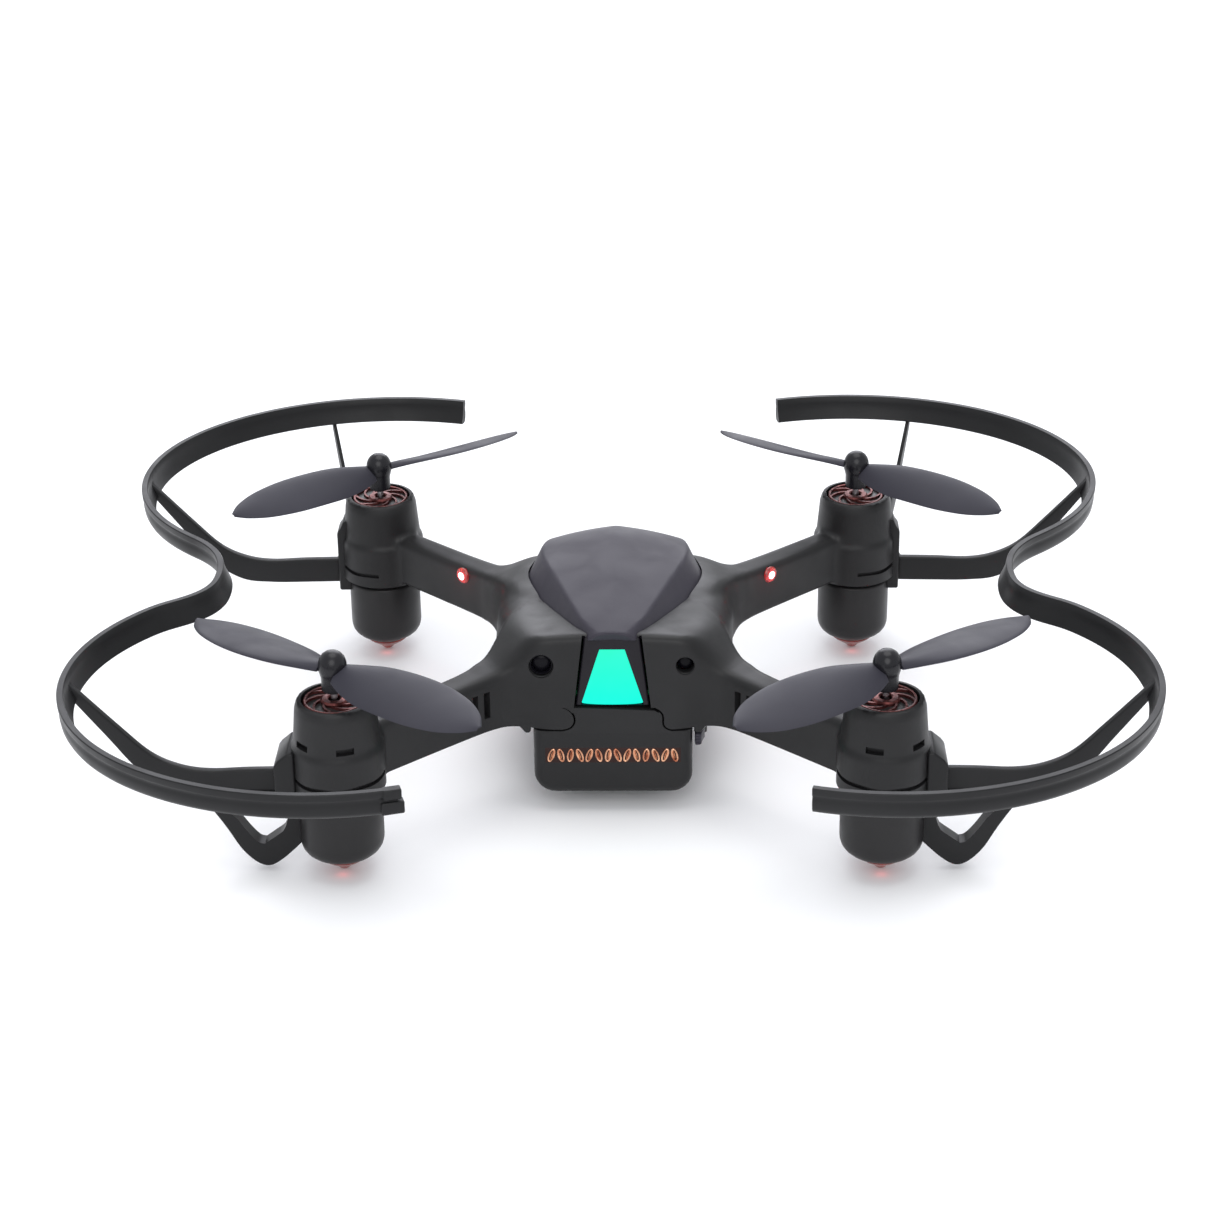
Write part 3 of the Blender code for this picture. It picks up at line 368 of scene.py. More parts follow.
def make_looks():
    looks = {name: moulded(name, *row) for name, row in MOULDED.items()}
    for name, row in MOTTLED.items():
        uniform = {"Specular_IOR_Level": GLASS_GLOSS} if name == "lens_glass" else {}
        looks[name] = mottled(*row, **uniform)
    looks["red_lens"], looks["red_led"] = red_lens("red_lens", 0.02), red_lens("red_led", 0.22)
    looks["led_core"], looks["teal_glow"], looks["circuit_green"] = led_core(), teal_glow(), circuit_board()
    return looks


# ---- meshes


def to_object(name, mesh, smooth_angle):
    mesh.shade_smooth()
    mesh.set_sharp_from_angle(angle=math.radians(smooth_angle))
    obj = bpy.data.objects.new(name, mesh)
    bpy.context.scene.collection.objects.link(obj)
    return obj


def finish_mesh(name, bm, at=(0.0, 0.0, 0.0), smooth_angle=SMOOTH_ANGLE):
    bmesh.ops.remove_doubles(bm, verts=bm.verts, dist=WELD)
    bmesh.ops.recalc_face_normals(bm, faces=bm.faces)
    bm.transform(Matrix.Scale(MM, 4) @ Matrix.Translation(at))
    mesh = bpy.data.meshes.new(name)
    bm.to_mesh(mesh)
    bm.free()
    return to_object(name, mesh, smooth_angle)


def piece(obj, body, look, replaces=()):
    """Gives a finished piece its finish and its body."""
    obj.data.materials.clear()
    obj.data.materials.append(LOOKS[look])
    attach(obj, body)
    if replaces:
        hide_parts(*replaces)
    return obj


def baked(obj):
    """Applies an object's modifiers, for use in a boolean or as a final mesh."""
    bpy.context.view_layer.update()
    graph = bpy.context.evaluated_depsgraph_get()
    mesh = bpy.data.meshes.new_from_object(obj.evaluated_get(graph))
    mesh.shade_smooth()
    mesh.set_sharp_from_angle(angle=math.radians(SMOOTH_ANGLE))
    obj.modifiers.clear()
    old = obj.data
    obj.data = mesh
    bpy.data.meshes.remove(old)
    return obj


def rounded(obj, width, angle=30.0):
    """Rounds the edges that turn by more than an angle."""
    modifier = obj.modifiers.new("rounded", "BEVEL")
    modifier.width = width * MM
    modifier.segments = 3
    modifier.limit_method = "ANGLE"
    modifier.angle_limit = math.radians(angle)
    modifier.harden_normals = False
    return baked(obj)


def combine(target, others, operation):
    """Applies one boolean with several solids, and removes them."""
    for other in others:
        modifier = target.modifiers.new(other.name, "BOOLEAN")
        modifier.operation = operation
        modifier.solver = "MANIFOLD"
        modifier.object = other
    baked(target)
    for other in others:
        mesh = other.data
        bpy.data.objects.remove(other)
        bpy.data.meshes.remove(mesh)
    return target


def band(bm, near, far):
    """Quads between two rings of points."""
    for i in range(len(near)):
        j = (i + 1) % len(near)
        bm.faces.new((near[i], near[j], far[j], far[i]))


def loft(rings):
    """A solid through rings of equally many points, closed at both ends."""
    bm = bmesh.new()
    layers = [[bm.verts.new(point) for point in ring] for ring in rings]
    for near, far in zip(layers, layers[1:]):
        band(bm, near, far)
    bm.faces.new(layers[0])
    bm.faces.new(layers[-1])
    return bm


def prism(outline, low, high, plane="XY"):
    place = {
        "XY": lambda u, v, w: (u, v, w),
        "XZ": lambda u, v, w: (u, w, v),
    }[plane]
    return loft([[place(u, v, w) for u, v in outline] for w in (low, high)])


def box(low, high):
    outline = ((low[0], low[1]), (high[0], low[1]), (high[0], high[1]), (low[0], high[1]))
    return prism(outline, low[2], high[2])


def turned(profile, steps=64):
    """A solid of revolution about Z through (radius, z) points."""
    bm = bmesh.new()
    points = [bm.verts.new((radius, 0.0, z)) for radius, z in profile]
    edges = []
    for near, far in zip(points, points[1:] + points[:1]):
        if near.co.x > 0.0 or far.co.x > 0.0:
            edges.append(bm.edges.new((near, far)))
    centre, axis, still = (0, 0, 0), (0, 0, 1), (0, 0, 0)
    bmesh.ops.spin(
        bm,
        geom=points + edges,
        cent=centre,
        axis=axis,
        dvec=still,
        angle=math.tau,
        steps=steps,
        use_merge=True,
    )
    bmesh.ops.remove_doubles(bm, verts=bm.verts, dist=WELD)
    return bm


def between(before, start, end, after, t):
    linear = (end - before) * t
    square = (2 * before - 5 * start + 4 * end - after) * t * t
    cube = (3 * start - before - 3 * end + after) * t**3
    return 0.5 * (2 * start + linear + square + cube)


def smooth_run(points, steps=8):
    """Points along a curve through the given ones."""
    ends = [points[0], *points, points[-1]]
    run = []
    for four in zip(ends, ends[1:], ends[2:], ends[3:]):
        for i in range(steps):
            run.append(tuple(between(*numbers, i / steps) for numbers in zip(*four)))
    run.append(points[-1])
    return run


# ---- shapes from distance fields


def smooth_max(a, b, radius):
    share = np.clip(0.5 + 0.5 * (a - b) / radius, 0.0, 1.0)
    return b + (a - b) * share + radius * share * (1.0 - share)


def smooth_min(a, b, radius):
    return -smooth_max(-a, -b, radius)


def along(values, rows, column):
    """A smooth curve through one column of rows, read at values of the first column."""
    dense = np.array(smooth_run([(row[0], row[column]) for row in rows], 12))
    return np.interp(values, dense[:, 0], dense[:, 1])


def net(name, field, low, high, pitch, level=0.0, smooth_angle=60.0):
    """The surface where a field equals level: quads, with a point per crossed cell."""
    axes = [np.arange(a, b + pitch, pitch) for a, b in zip(low, high)]
    grid = np.meshgrid(*axes, indexing="ij", sparse=True)
    values = np.array(np.broadcast_to(field(*grid) - level, [len(axis) for axis in axes]))
    for axis in range(3):
        for side in (0, -1):
            border = [slice(None)] * 3
            border[axis] = side
            values[tuple(border)] = np.maximum(values[tuple(border)], pitch)
    cells = [n - 1 for n in values.shape]
    total = np.zeros((*cells, 3))
    count = np.zeros(cells)
    crossings = []
    for axis in range(3):
        near = [slice(None)] * 3
        far = [slice(None)] * 3
        near[axis], far[axis] = slice(0, -1), slice(1, None)
        first, second = values[tuple(near)], values[tuple(far)]
        where = np.argwhere((first < 0) != (second < 0))
        a, b = first[tuple(where.T)], second[tuple(where.T)]
        point = where.astype(float)
        point[:, axis] += a / (a - b)
        others = [k for k in range(3) if k != axis]
        around = []
        for du, dv in ((-1, -1), (0, -1), (0, 0), (-1, 0)):
            cell = where.copy()
            cell[:, others[0]] += du
            cell[:, others[1]] += dv
            around.append(cell)
        keep = np.all([(cell >= 0).all(1) & (cell < cells).all(1) for cell in around], axis=0)
        around = [cell[keep] for cell in around]
        for cell in around:
            np.add.at(total, tuple(cell.T), point[keep])
            np.add.at(count, tuple(cell.T), 1)
        flip = (a[keep] < 0) ^ (axis == 1)
        crossings.append((around, flip))
    used = np.argwhere(count > 0)
    index = np.full(cells, -1)
    index[tuple(used.T)] = np.arange(len(used))
    means = total[tuple(used.T)] / count[tuple(used.T)][:, None]
    points = means * pitch + np.array([axis[0] for axis in axes])
    quads = []
    for around, flip in crossings:
        quad = np.stack([index[tuple(cell.T)] for cell in around], axis=1)
        quad[~flip] = quad[~flip][:, ::-1]
        quads.append(quad)
    quads = np.concatenate(quads)
    mesh = bpy.data.meshes.new(name)
    mesh.from_pydata((points * MM).tolist(), [], quads.tolist())
    mesh.validate()
    return to_object(name, mesh, smooth_angle)


# ---- hull shape

HULL_BOTTOM = 14.1
FACE_Y = -20.0
FACE_LEAN = 1.0 / 7.0
HULL_REAR = 26.0
WALL = 1.3
# y, half width of the side, z of its top edge, half width of the roof, z of the roof's edge, z of the crown
HULL_ROWS = (
    (-24.0, 10.8, 24.6, 9.6, 28.4, 28.9),
    (-20.0, 13.4, 24.4, 11.2, 28.3, 28.9),
    (-16.5, 15.5, 24.0, 12.9, 28.0, 28.8),
    (-10.0, 17.3, 23.1, 14.8, 27.0, 28.2),
    (-2.0, 18.1, 22.3, 15.7, 25.9, 27.2),
    (8.0, 18.1, 21.9, 15.9, 25.1, 26.6),
    (17.0, 16.4, 21.7, 14.2, 24.6, 26.0),
    (24.0, 12.6, 21.4, 10.6, 23.9, 24.8),
    (30.0, 8.0, 20.8, 7.0, 22.6, 23.4),
)
ARM_ROWS = ((10.0, 5.2, 23.9), (18.0, 4.2, 23.7), (25.0, 3.0, 23.0), (32.0, 2.45, 22.5), (60.0, 2.3, 22.4))
REAR_ARM_BOTTOM = 14.6
HOUSING_ROWS = ((13.0, 6.75), (20.2, 6.7), (20.7, 6.62), (21.3, 6.28), (21.8, 6.22), (26.6, 5.8), (29.0, 5.1))
HOUSING_TOP = 27.9
BORE = 4.8
SKIRT_LOW = 13.1


def face_y(z):
    return FACE_Y + FACE_LEAN * (z - HULL_BOTTOM)


def hull_field(x, y, z):
    """Distance to the hull without its arms."""
    half_side, z_side, half_roof, z_roof, z_crown = (along(y, HULL_ROWS, k) for k in range(1, 6))
    width = np.abs(x)
    side = width - half_side + 0.05 * np.maximum(16.5 - z, 0.0) ** 2
    run, rise = half_side - half_roof, z_roof - z_side
    size = np.hypot(run, rise)
    shoulder = ((width - half_side) * rise + (z - z_side) * run) / size
    roof = (z - z_roof - (z_crown - z_roof) * (1.0 - width / half_roof)) * 0.98
    front = (face_y(z) - y) * 0.99
    walls = smooth_max(side, front, 5.0)
    top = smooth_max(shoulder, roof, 2.0)
    body = smooth_max(walls, top, 1.4)
    return smooth_max(body, y - HULL_REAR, 2.5)


def arm_field(x, y, z):
    """Distance to the four arms."""
    ux, uy = MOTOR_X / ARM_LENGTH, MOTOR_Y / ARM_LENGTH
    ax, ay = np.abs(x), np.abs(y)
    reach = ax * ux + ay * uy
    offset = np.abs(ax * uy - ay * ux)
    half, top = along(reach, ARM_ROWS, 1), along(reach, ARM_ROWS, 2)
    bar = smooth_max(offset - half, z - top, 1.5)
    bottom = np.where(y > 0.0, REAR_ARM_BOTTOM, HULL_BOTTOM - 2.0) - z
    bar = smooth_max(bar, bottom, 0.8)
    return np.maximum(np.maximum(bar, 12.0 - reach), reach - ARM_LENGTH)


def housing_field(x, y, z):
    radius = np.hypot(np.abs(x) - MOTOR_X, np.abs(y) - MOTOR_Y)
    return smooth_max(radius - np.interp(z, *np.array(HOUSING_ROWS).T), z - HOUSING_TOP, 0.35)


def shell_field(x, y, z):
    body = smooth_min(hull_field(x, y, z), arm_field(x, y, z), 4.0)
    return smooth_min(body, housing_field(x, y, z), 0.9)


def space_field(x, y, z):
    """The hollow inside the hull."""
    return np.maximum(hull_field(x, y, z) + WALL, 12.6 - z)


# y, half width of the crease, half width of the base, z of the crown, z of the crease, z of the base
CANOPY_ROWS = (
    (-22.0, 1.3, 1.6, 28.9, 28.8, 28.9),
    (-18.2, 2.4, 2.9, 29.35, 29.1, 28.6),
    (-14.0, 4.6, 5.5, 29.9, 29.5, 27.7),
    (-8.0, 6.6, 8.2, 30.5, 29.8, 26.6),
    (0.0, 9.0, 11.4, 31.2, 29.9, 25.5),
    (9.0, 11.3, 13.8, 31.6, 29.4, 24.6),
    (15.0, 11.2, 13.1, 31.2, 28.7, 24.4),
    (20.0, 9.8, 11.2, 29.3, 27.2, 24.0),
    (25.0, 5.5, 7.0, 26.0, 25.0, 23.7),
)
CANOPY_FRONT, CANOPY_REAR, CANOPY_GAP = -18.2, 23.2, 0.22


def canopy_field(x, y, z):
    half, base, z_crown, z_crease, z_base = (along(y, CANOPY_ROWS, k) for k in range(1, 6))
    width = np.abs(x)
    share = np.clip(width / half, 0.0, 1.4)
    top = (z - z_crown + (z_crown - z_crease) * (0.5 * share + 0.5 * share**2)) * 0.95
    run, drop = base - half, z_crease - z_base
    side = ((width - half) * drop + (z - z_crease) * run) / np.hypot(run, drop)
    body = smooth_max(top, side, 0.35)
    lip = CANOPY_FRONT - y - 0.04 * np.square(x) + 0.5 * (29.0 - z)
    ends = np.maximum(lip, (y - CANOPY_REAR) * 0.95)
    return np.maximum(smooth_max(body, ends, 0.35), z_base - 0.8 - z)


# ---- shell


def along_arm(sx, sy, distance, offset=0.0):
    ux, uy = sx * MOTOR_X / ARM_LENGTH, sy * MOTOR_Y / ARM_LENGTH
    return ux * distance - sx * sy * uy * offset, uy * distance + sx * sy * ux * offset


def arm_box(sx, sy, start, end, half, low, high):
    rings = []
    for distance in (start, end):
        left = along_arm(sx, sy, distance, -half)
        right = along_arm(sx, sy, distance, half)
        rings.append([(*left, low), (*right, low), (*right, high), (*left, high)])
    return loft(rings)


def face_plate(outline, front, back):
    return loft([[(x, face_y(z) + depth, z) for x, z in outline] for depth in (front, back)])


def trapezoid(half_low, half_high, low, high, grow=0.0):
    return (
        (-half_low - grow, low - grow),
        (half_low + grow, low - grow),
        (half_high + grow, high + grow),
        (-half_high - grow, high + grow),
    )


def front_round(profile, at, steps=48):
    bm = turned(profile, steps)
    bm.transform(Matrix.Translation(at) @ Matrix.Rotation(math.radians(-90), 4, "X"))
    return bm


SLOT_COUNT, SLOT_START, SLOT_PITCH, SLOT_WIDTH = 4, 27.0, 2.1, 1.05
CAMERA_AT, SENSOR_AT = (-10.5, 24.0), (10.8, 24.0)
BEZEL = (5.45, 4.1, 17.6, 28.1)
WINDOW = (4.58, 1.76, 17.8, 26.2)
# The seam between hull and battery cap at either side of the cap's tongue: x, z.
SEAM_LEFT = (
    *((-7.6, 17.5), (-6.9, 17.25), (-6.2, 16.7), (-5.8, 15.9)),
    *((-5.85, 15.1), (-6.3, 14.5), (-7.0, 14.2), (-7.8, 14.05)),
)
SEAM_RIGHT = (
    *((6.3, 17.5), (7.0, 17.1), (7.5, 16.5), (7.65, 15.8)),
    *((7.65, 15.0), (7.9, 14.5), (8.4, 14.2), (9.0, 14.05)),
)
BUTTON_Z = 18.6
ARM_LIGHT_AT, ARM_LIGHT_Z = 31.0, 21.1
# Angle of a pod's two clip notches from straight ahead, outward and inward.
NOTCH_ANGLES = (-48.0, 17.5)


def arm_pin(sx, sy, profile):
    """A turned pin through the front side wall of a rear arm: radius, distance from the arm's middle."""
    bm = turned(profile, 40)
    bm.transform(Matrix.Rotation(math.radians(90), 4, "Y"))
    bm.transform(Matrix.Rotation(math.atan2(-sy * MOTOR_X, sx * MOTOR_Y), 4, "Z"))
    x, y = along_arm(sx, sy, ARM_LIGHT_AT)
    bm.transform(Matrix.Translation((x, y, ARM_LIGHT_Z)))
    return bm


def rod(radius, low, high):
    return ((0.0, low), (radius, low), (radius, high), (0.0, high))


def shell_cutters():
    cutters = [finish_mesh("underside", box((-60, -60, 5), (60, 60, HULL_BOTTOM)))]
    cutters.append(net("hull_space", space_field, (-18, -20, 12), (18, 26, 28), SPACE_PITCH))
    low, high = (-16, -21, 22.5), (16, 26, 34)
    cutters.append(net("canopy_seat", canopy_field, low, high, SEAT_PITCH, CANOPY_GAP))
    for corner, sx, sy in CORNERS:
        at = (sx * MOTOR_X, sy * MOTOR_Y, 0)
        cutters.append(finish_mesh(f"bore_{corner}", turned(rod(BORE, 13, 30), 96), at))
        cutters.append(parting_groove(f"groove_{corner}", sx, sy))
        cutters.append(finish_mesh(f"channel_{corner}", arm_box(sx, sy, 16.5, ARM_LENGTH, 1.3, 13, 20.9)))
        if sy > 0:
            hole = arm_pin(sx, sy, rod(1.15, 0.2, 4.0))
            cutters.append(finish_mesh(f"light_hole_{corner}", hole))
            continue
        for i in range(SLOT_COUNT):
            start = SLOT_START + SLOT_PITCH * i
            slot = arm_box(sx, sy, start, start + SLOT_WIDTH, 4.5, 16.3, 20.6)
            cutters.append(finish_mesh(f"slot_{corner}_{i}", slot))
        for i, angle in enumerate(NOTCH_ANGLES):
            cutters.append(finish_mesh(f"notch_{corner}_{i}", notch(sx, angle), at))
    cutters += face_cutters()
    return cutters


def round_ring(section, angle, rise=0.0):
    """A section of (radius, z) points turned to an angle."""
    return [(radius * math.cos(angle), radius * math.sin(angle), z + rise) for radius, z in section]


def parting_groove(name, sx, sy, steps=60):
    """The deep seam round a housing's outer side, clear of its arm."""
    section = ((6.15, 15.95), (8.5, 15.85), (8.5, 16.65), (6.15, 16.55))
    rings = []
    for angle in np.radians(np.linspace(-88.0, 178.0, steps)):
        wave = 0.14 * math.sin(5.0 * angle) * math.sin(2.3 * angle)
        rings.append(round_ring(section, angle, wave))
    return finish_mesh(name, place_at_pod(loft(rings), sx, sy))


def notch(sx, angle):
    """A wedge-shaped pocket in a housing's front, at an angle from straight ahead."""
    bm = prism(((5.3, 21.7), (8.0, 21.7), (8.0, 23.1), (5.3, 22.5)), -1.3, 1.3, "XZ")
    bm.transform(Matrix.Rotation(math.radians(-90.0 - sx * angle), 4, "Z"))
    return bm


def face_cutters():
    """Openings in the hull's front face and rear wall."""
    cutters = [finish_mesh("bezel_opening", face_plate(trapezoid(*BEZEL, 0.3), -3, 4))]
    low = [(SEAM_LEFT[-1][0], 12.0), (SEAM_RIGHT[-1][0], 12.0)]
    outline = [*smooth_run(SEAM_LEFT, 4), *low, *reversed(smooth_run(SEAM_RIGHT, 4))]
    cutters.append(finish_mesh("tongue_opening", prism(outline, FACE_Y - 3, -16.7, "XZ")))
    for name, (x, z), radius in (("camera", CAMERA_AT, 1.75), ("sensor", SENSOR_AT, 1.3)):
        mouth = radius + 0.12
        drill = ((0.0, -3.0), (mouth, -3.0), (mouth, 0.05), (radius, 0.2), (radius, 4.0), (0.0, 4.0))
        cutters.append(finish_mesh(f"{name}_hole", front_round(drill, (x, face_y(z), z))))
    cutters.append(finish_mesh("button_hole", front_round(rod(1.8, 23.0, 28.0), (0, 0, BUTTON_Z))))
    return cutters


def skirt(sx):
    """The wedge under the hull's side that comes down beside the battery."""
    rings = []
    for y in np.linspace(-19.0, 22.0, 24):
        half = float(along(np.array([y]), HULL_ROWS, 1)[0]) - 0.45
        wedge = ((12.2, 14.15), (12.25, SKIRT_LOW + 0.25), (12.5, SKIRT_LOW), (13.0, SKIRT_LOW), (half, 14.0))
        root = ((half, 14.3), (half - 1.0, 14.3), (half - 1.0, 14.15))
        rings.append([(sx * x, y, z) for x, z in wedge + root])
    return loft(rings)


def make_shell():
    low, high = (-46.3, -43.1, 12.6), (46.3, 43.1, 29.6)
    shell = net("shell", shell_field, low, high, SHELL_PITCH)
    combine(shell, shell_cutters(), "DIFFERENCE")
    combine(shell, [finish_mesh(f"skirt_{side}", skirt(sx)) for side, sx in SIDES], "UNION")
    piece(shell, "airframe", "matte_black", replaces=["upper_shell"])


def make_canopy():
    cover = net("canopy_cover", canopy_field, (-16, -20, 23.0), (16, 24.5, 33), CANOPY_PITCH)
    piece(cover, "airframe", "satin_grey", replaces=["canopy"])


# ---- front light, camera and sensor


def make_front_light():
    bezel = rounded(finish_mesh("bezel", face_plate(trapezoid(*BEZEL), 0.45, 1.7)), 0.3)
    combine(bezel, [finish_mesh("bezel_hole", face_plate(trapezoid(*WINDOW, 0.12), -2, 4))], "DIFFERENCE")
    piece(bezel, "airframe", "bezel_black", ["light_bezel"])
    half_low, half_high, low, high = WINDOW
    curve = [(half_low * math.cos(a), low + 0.35 * (1 - math.sin(a))) for a in np.linspace(0, math.pi, 13)]
    outline = [*reversed(curve), (half_high, high), (-half_high, high)]
    window = rounded(finish_mesh("window", face_plate(outline, 0.35, 1.6)), 0.15)
    piece(window, "airframe", "teal_glow", ["light_window"])


def make_eye(name, profile, spot, node):
    """A glossy turned piece let into the hull's face at a spot: x, z."""
    at = (spot[0], face_y(spot[1]), spot[1])
    piece(finish_mesh(name, front_round(profile, at, 64)), "airframe", "lens_glass", [node])


def make_camera():
    ring = ((1.64, 0.5), (1.68, 0.7), (1.68, 1.5), (1.34, 1.5), (1.34, 1.0), (1.42, 0.7), (1.55, 0.5))
    make_eye("lens_ring", ring, CAMERA_AT, "camera_bezel")
    lens = ((0.0, 0.75), (0.45, 0.78), (0.85, 0.86), (1.15, 0.98), (1.3, 1.1), (1.3, 1.7), (0.0, 1.7))
    make_eye("lens", lens, CAMERA_AT, "camera_lens")
    eye = ((0.0, 0.9), (0.4, 0.92), (0.8, 1.0), (1.05, 1.15), (1.15, 1.3), (1.15, 1.9), (0.0, 1.9))
    make_eye("sensor", eye, SENSOR_AT, "sensor_window")


def make_button():
    profile = ((0.0, 23.4), (2.3, 23.4), (2.3, 24.1), (1.5, 24.1), (1.5, 26.4), (1.42, 26.65), (1.2, 26.85))
    dish = ((0.95, 26.9), (0.6, 26.78), (0.0, 26.72))
    button = finish_mesh("button_cap", front_round((*profile, *dish), (0, 0, BUTTON_Z), 48))
    piece(button, "button", "satin_grey", replaces=["power_button"])


# ---- battery

BATTERY_HALF, BATTERY_LOW, BATTERY_HIGH = 11.85, 3.0, 13.8
BATTERY_FRONT, BATTERY_REAR = -19.9, 22.0
CAP_BACK = -17.7
LATCH_PIN = (13.2, -11.6)
SEAM_GAP = 0.28


def inset(outline, distance):
    """An outline drawn in by a distance."""
    count = len(outline)
    points = []
    for i in range(count):
        before, here, after = (Vector(outline[k]) for k in (i - 1, i, (i + 1) % count))
        first, second = (here - before).normalized(), (after - here).normalized()
        normal = Vector((-first.y - second.y, first.x + second.x))
        share = max(normal.length_squared / 2.0, 0.5)
        points.append(tuple(here + normal * (distance / share)))
    return points


def lower_corners(half, low, radius, steps=8):
    """The rounded lower corners of a box outline, from left to right."""
    points = []
    for side, start in ((-1, 180.0), (1, 270.0)):
        for i in range(steps + 1):
            angle = math.radians(start + 90.0 * i / steps)
            x = side * (half - radius) + radius * math.cos(angle)
            points.append((x, low + radius + radius * math.sin(angle)))
    return points


def battery_outline(radius):
    """The battery's outline from the front, with rounded lower corners."""
    corners = lower_corners(BATTERY_HALF, BATTERY_LOW, radius)
    return [*corners, (BATTERY_HALF, BATTERY_HIGH), (-BATTERY_HALF, BATTERY_HIGH)]


def shifted(run, distance):
    """An open run of points moved sideways, to the left of its direction."""
    points = []
    for i, here in enumerate(run):
        before, after = Vector(run[max(i - 1, 0)]), Vector(run[min(i + 1, len(run) - 1)])
        heading = (after - before).normalized()
        points.append((here[0] - heading.y * distance, here[1] + heading.x * distance))
    return points


def make_battery_cap():
    outline = battery_outline(3.2)
    rings = []
    edge = ((0.0, 1.5), (0.12, 1.0), (0.4, 0.5), (0.85, 0.15), (1.3, 0.0), (CAP_BACK - BATTERY_FRONT, 0.0))
    for y, inward in edge:
        ring = inset(outline, inward)[:-2]
        side = max(x for x, z in ring)
        ring += [(side, BATTERY_HIGH), (-side, BATTERY_HIGH)]
        rings.append([(x, BATTERY_FRONT + y, z) for x, z in ring])
    cap = finish_mesh("cap", loft(rings))
    left = shifted(smooth_run(SEAM_LEFT, 4), SEAM_GAP)
    right = shifted(smooth_run(SEAM_RIGHT, 4), -SEAM_GAP)
    tongue = [(left[-1][0], 13.4), (right[-1][0], 13.4), *reversed(right), *left]
    lowered = [(x, z - 0.25 * (z > 16.8)) for x, z in tongue]
    combine(cap, [finish_mesh("tongue", face_plate(lowered, 0.1, 2.0))], "UNION")
    piece(cap, "battery", "matte_black", replaces=["battery_cap"])


def make_contacts(count=14, half=9.9):
    """A row of plated spring contacts standing in the cap's face, every other one leaning the other way."""
    low, high = (-10.15, BATTERY_FRONT - 0.03, 8.45), (10.15, BATTERY_FRONT + 0.3, 11.05)
    bed = finish_mesh("contact_bed", box(low, high))
    piece(rounded(bed, 0.12), "battery", "contact_bed")
    pitch = 2 * half / count
    bm = bmesh.new()
    for i in range(count):
        x = -half + pitch * (i + 0.5)
        lean = (0.28, -0.2, 0.12, -0.3)[i % 4]
        add_contact(bm, x, lean, 0.5, 0.24)
        add_contact(bm, x + 0.1 * (-1) ** i, lean, 0.16, 0.12)
    piece(finish_mesh("contacts", bm), "battery", "copper_pad", ["contact_strip"])


def add_contact(bm, x, lean, width, wall, low=8.65, high=10.85, steps=24):
    """One oval plated ring let into the cap."""
    middle, tall = (low + high) / 2, (high - low) / 2
    layers = []
    for i in range(steps):
        angle = math.tau * i / steps
        ring = []
        for out, y in ((0.0, 0.5), (0.0, -0.1), (-wall / 2, -0.17), (-wall, -0.1), (-wall, 0.5)):
            u = (width + out) * math.cos(angle)
            v = (tall * min(width / 0.5, 1.0) ** 0.3 + out) * math.sin(angle)
            ring.append(bm.verts.new((x + u + lean * v, BATTERY_FRONT + y, middle + v)))
        layers.append(ring)
    for near, far in zip(layers, layers[1:] + layers[:1]):
        band(bm, near, far)


def make_battery_case():
    front = CAP_BACK + 0.3
    case = finish_mesh("case", prism(battery_outline(2.8), front, BATTERY_REAR, "XZ"))
    rounded(case, 0.35, 40.0)
    spaces = [finish_mesh("cell_space", box((-10.2, front - 2, 4.0), (10.2, 19.4, 12.9)))]
    spaces.append(finish_mesh("plug_space", box((-4.3, 19.0, 6.4), (4.3, BATTERY_REAR + 2, 10.4))))
    for side, sx in SIDES:
        span = sorted((sx * (BATTERY_HALF - 0.9), sx * (BATTERY_HALF + 2)))
        groove = box((span[0], -10.3, 10.7), (span[1], BATTERY_REAR + 2, 12.1))
        spaces.append(finish_mesh(f"groove_{side}", groove))
        for i in range(5):
            y = 2.0 + 2.2 * i
            rib = box((span[0] + 0.6 * (sx > 0), y, 5.2), (span[1] - 0.6 * (sx < 0), y + 0.9, 9.4))
            spaces.append(finish_mesh(f"grip_{side}_{i}", rib))
    combine(case, spaces, "DIFFERENCE")
    piece(case, "battery", "matte_black", replaces=["battery_case"])


def make_latch():
    x, y = LATCH_PIN
    arm = ((0.6, 0.9), (-0.6, 0.9), (-0.7, -5.4), (-1.0, -6.2), (-0.95, -7.6))
    tip = ((-0.2, -7.6), (0.0, -7.3), (0.1, -6.6), (0.5, -5.2))
    latch = finish_mesh("latch_tab", prism(arm + tip, 11.0, 12.8), (x, y, 0))
    rounded(latch, 0.18)
    grips = [
        finish_mesh(f"latch_grip_{i}", box((x - 2, y - 7.9, low), (x + 2, y - 7.45, low + 0.28)))
        for i, low in enumerate((11.35, 11.85, 12.35))
    ]
    combine(latch, grips, "DIFFERENCE")
    pin = finish_mesh("pin", turned(rod(0.4, 9.95, 13.9), 24), (x, y, 0))
    combine(latch, [pin], "UNION")
    piece(latch, "latch", "satin_grey", replaces=["battery_latch"])


# ---- pods


# front or rear: the width of a pod's cap against its profile
CAP_SHARE = {-1: 1.0, 1: 0.955}
SCREW_X, SCREW_Y = 12.2, {-1: -6.0, 1: 7.0}


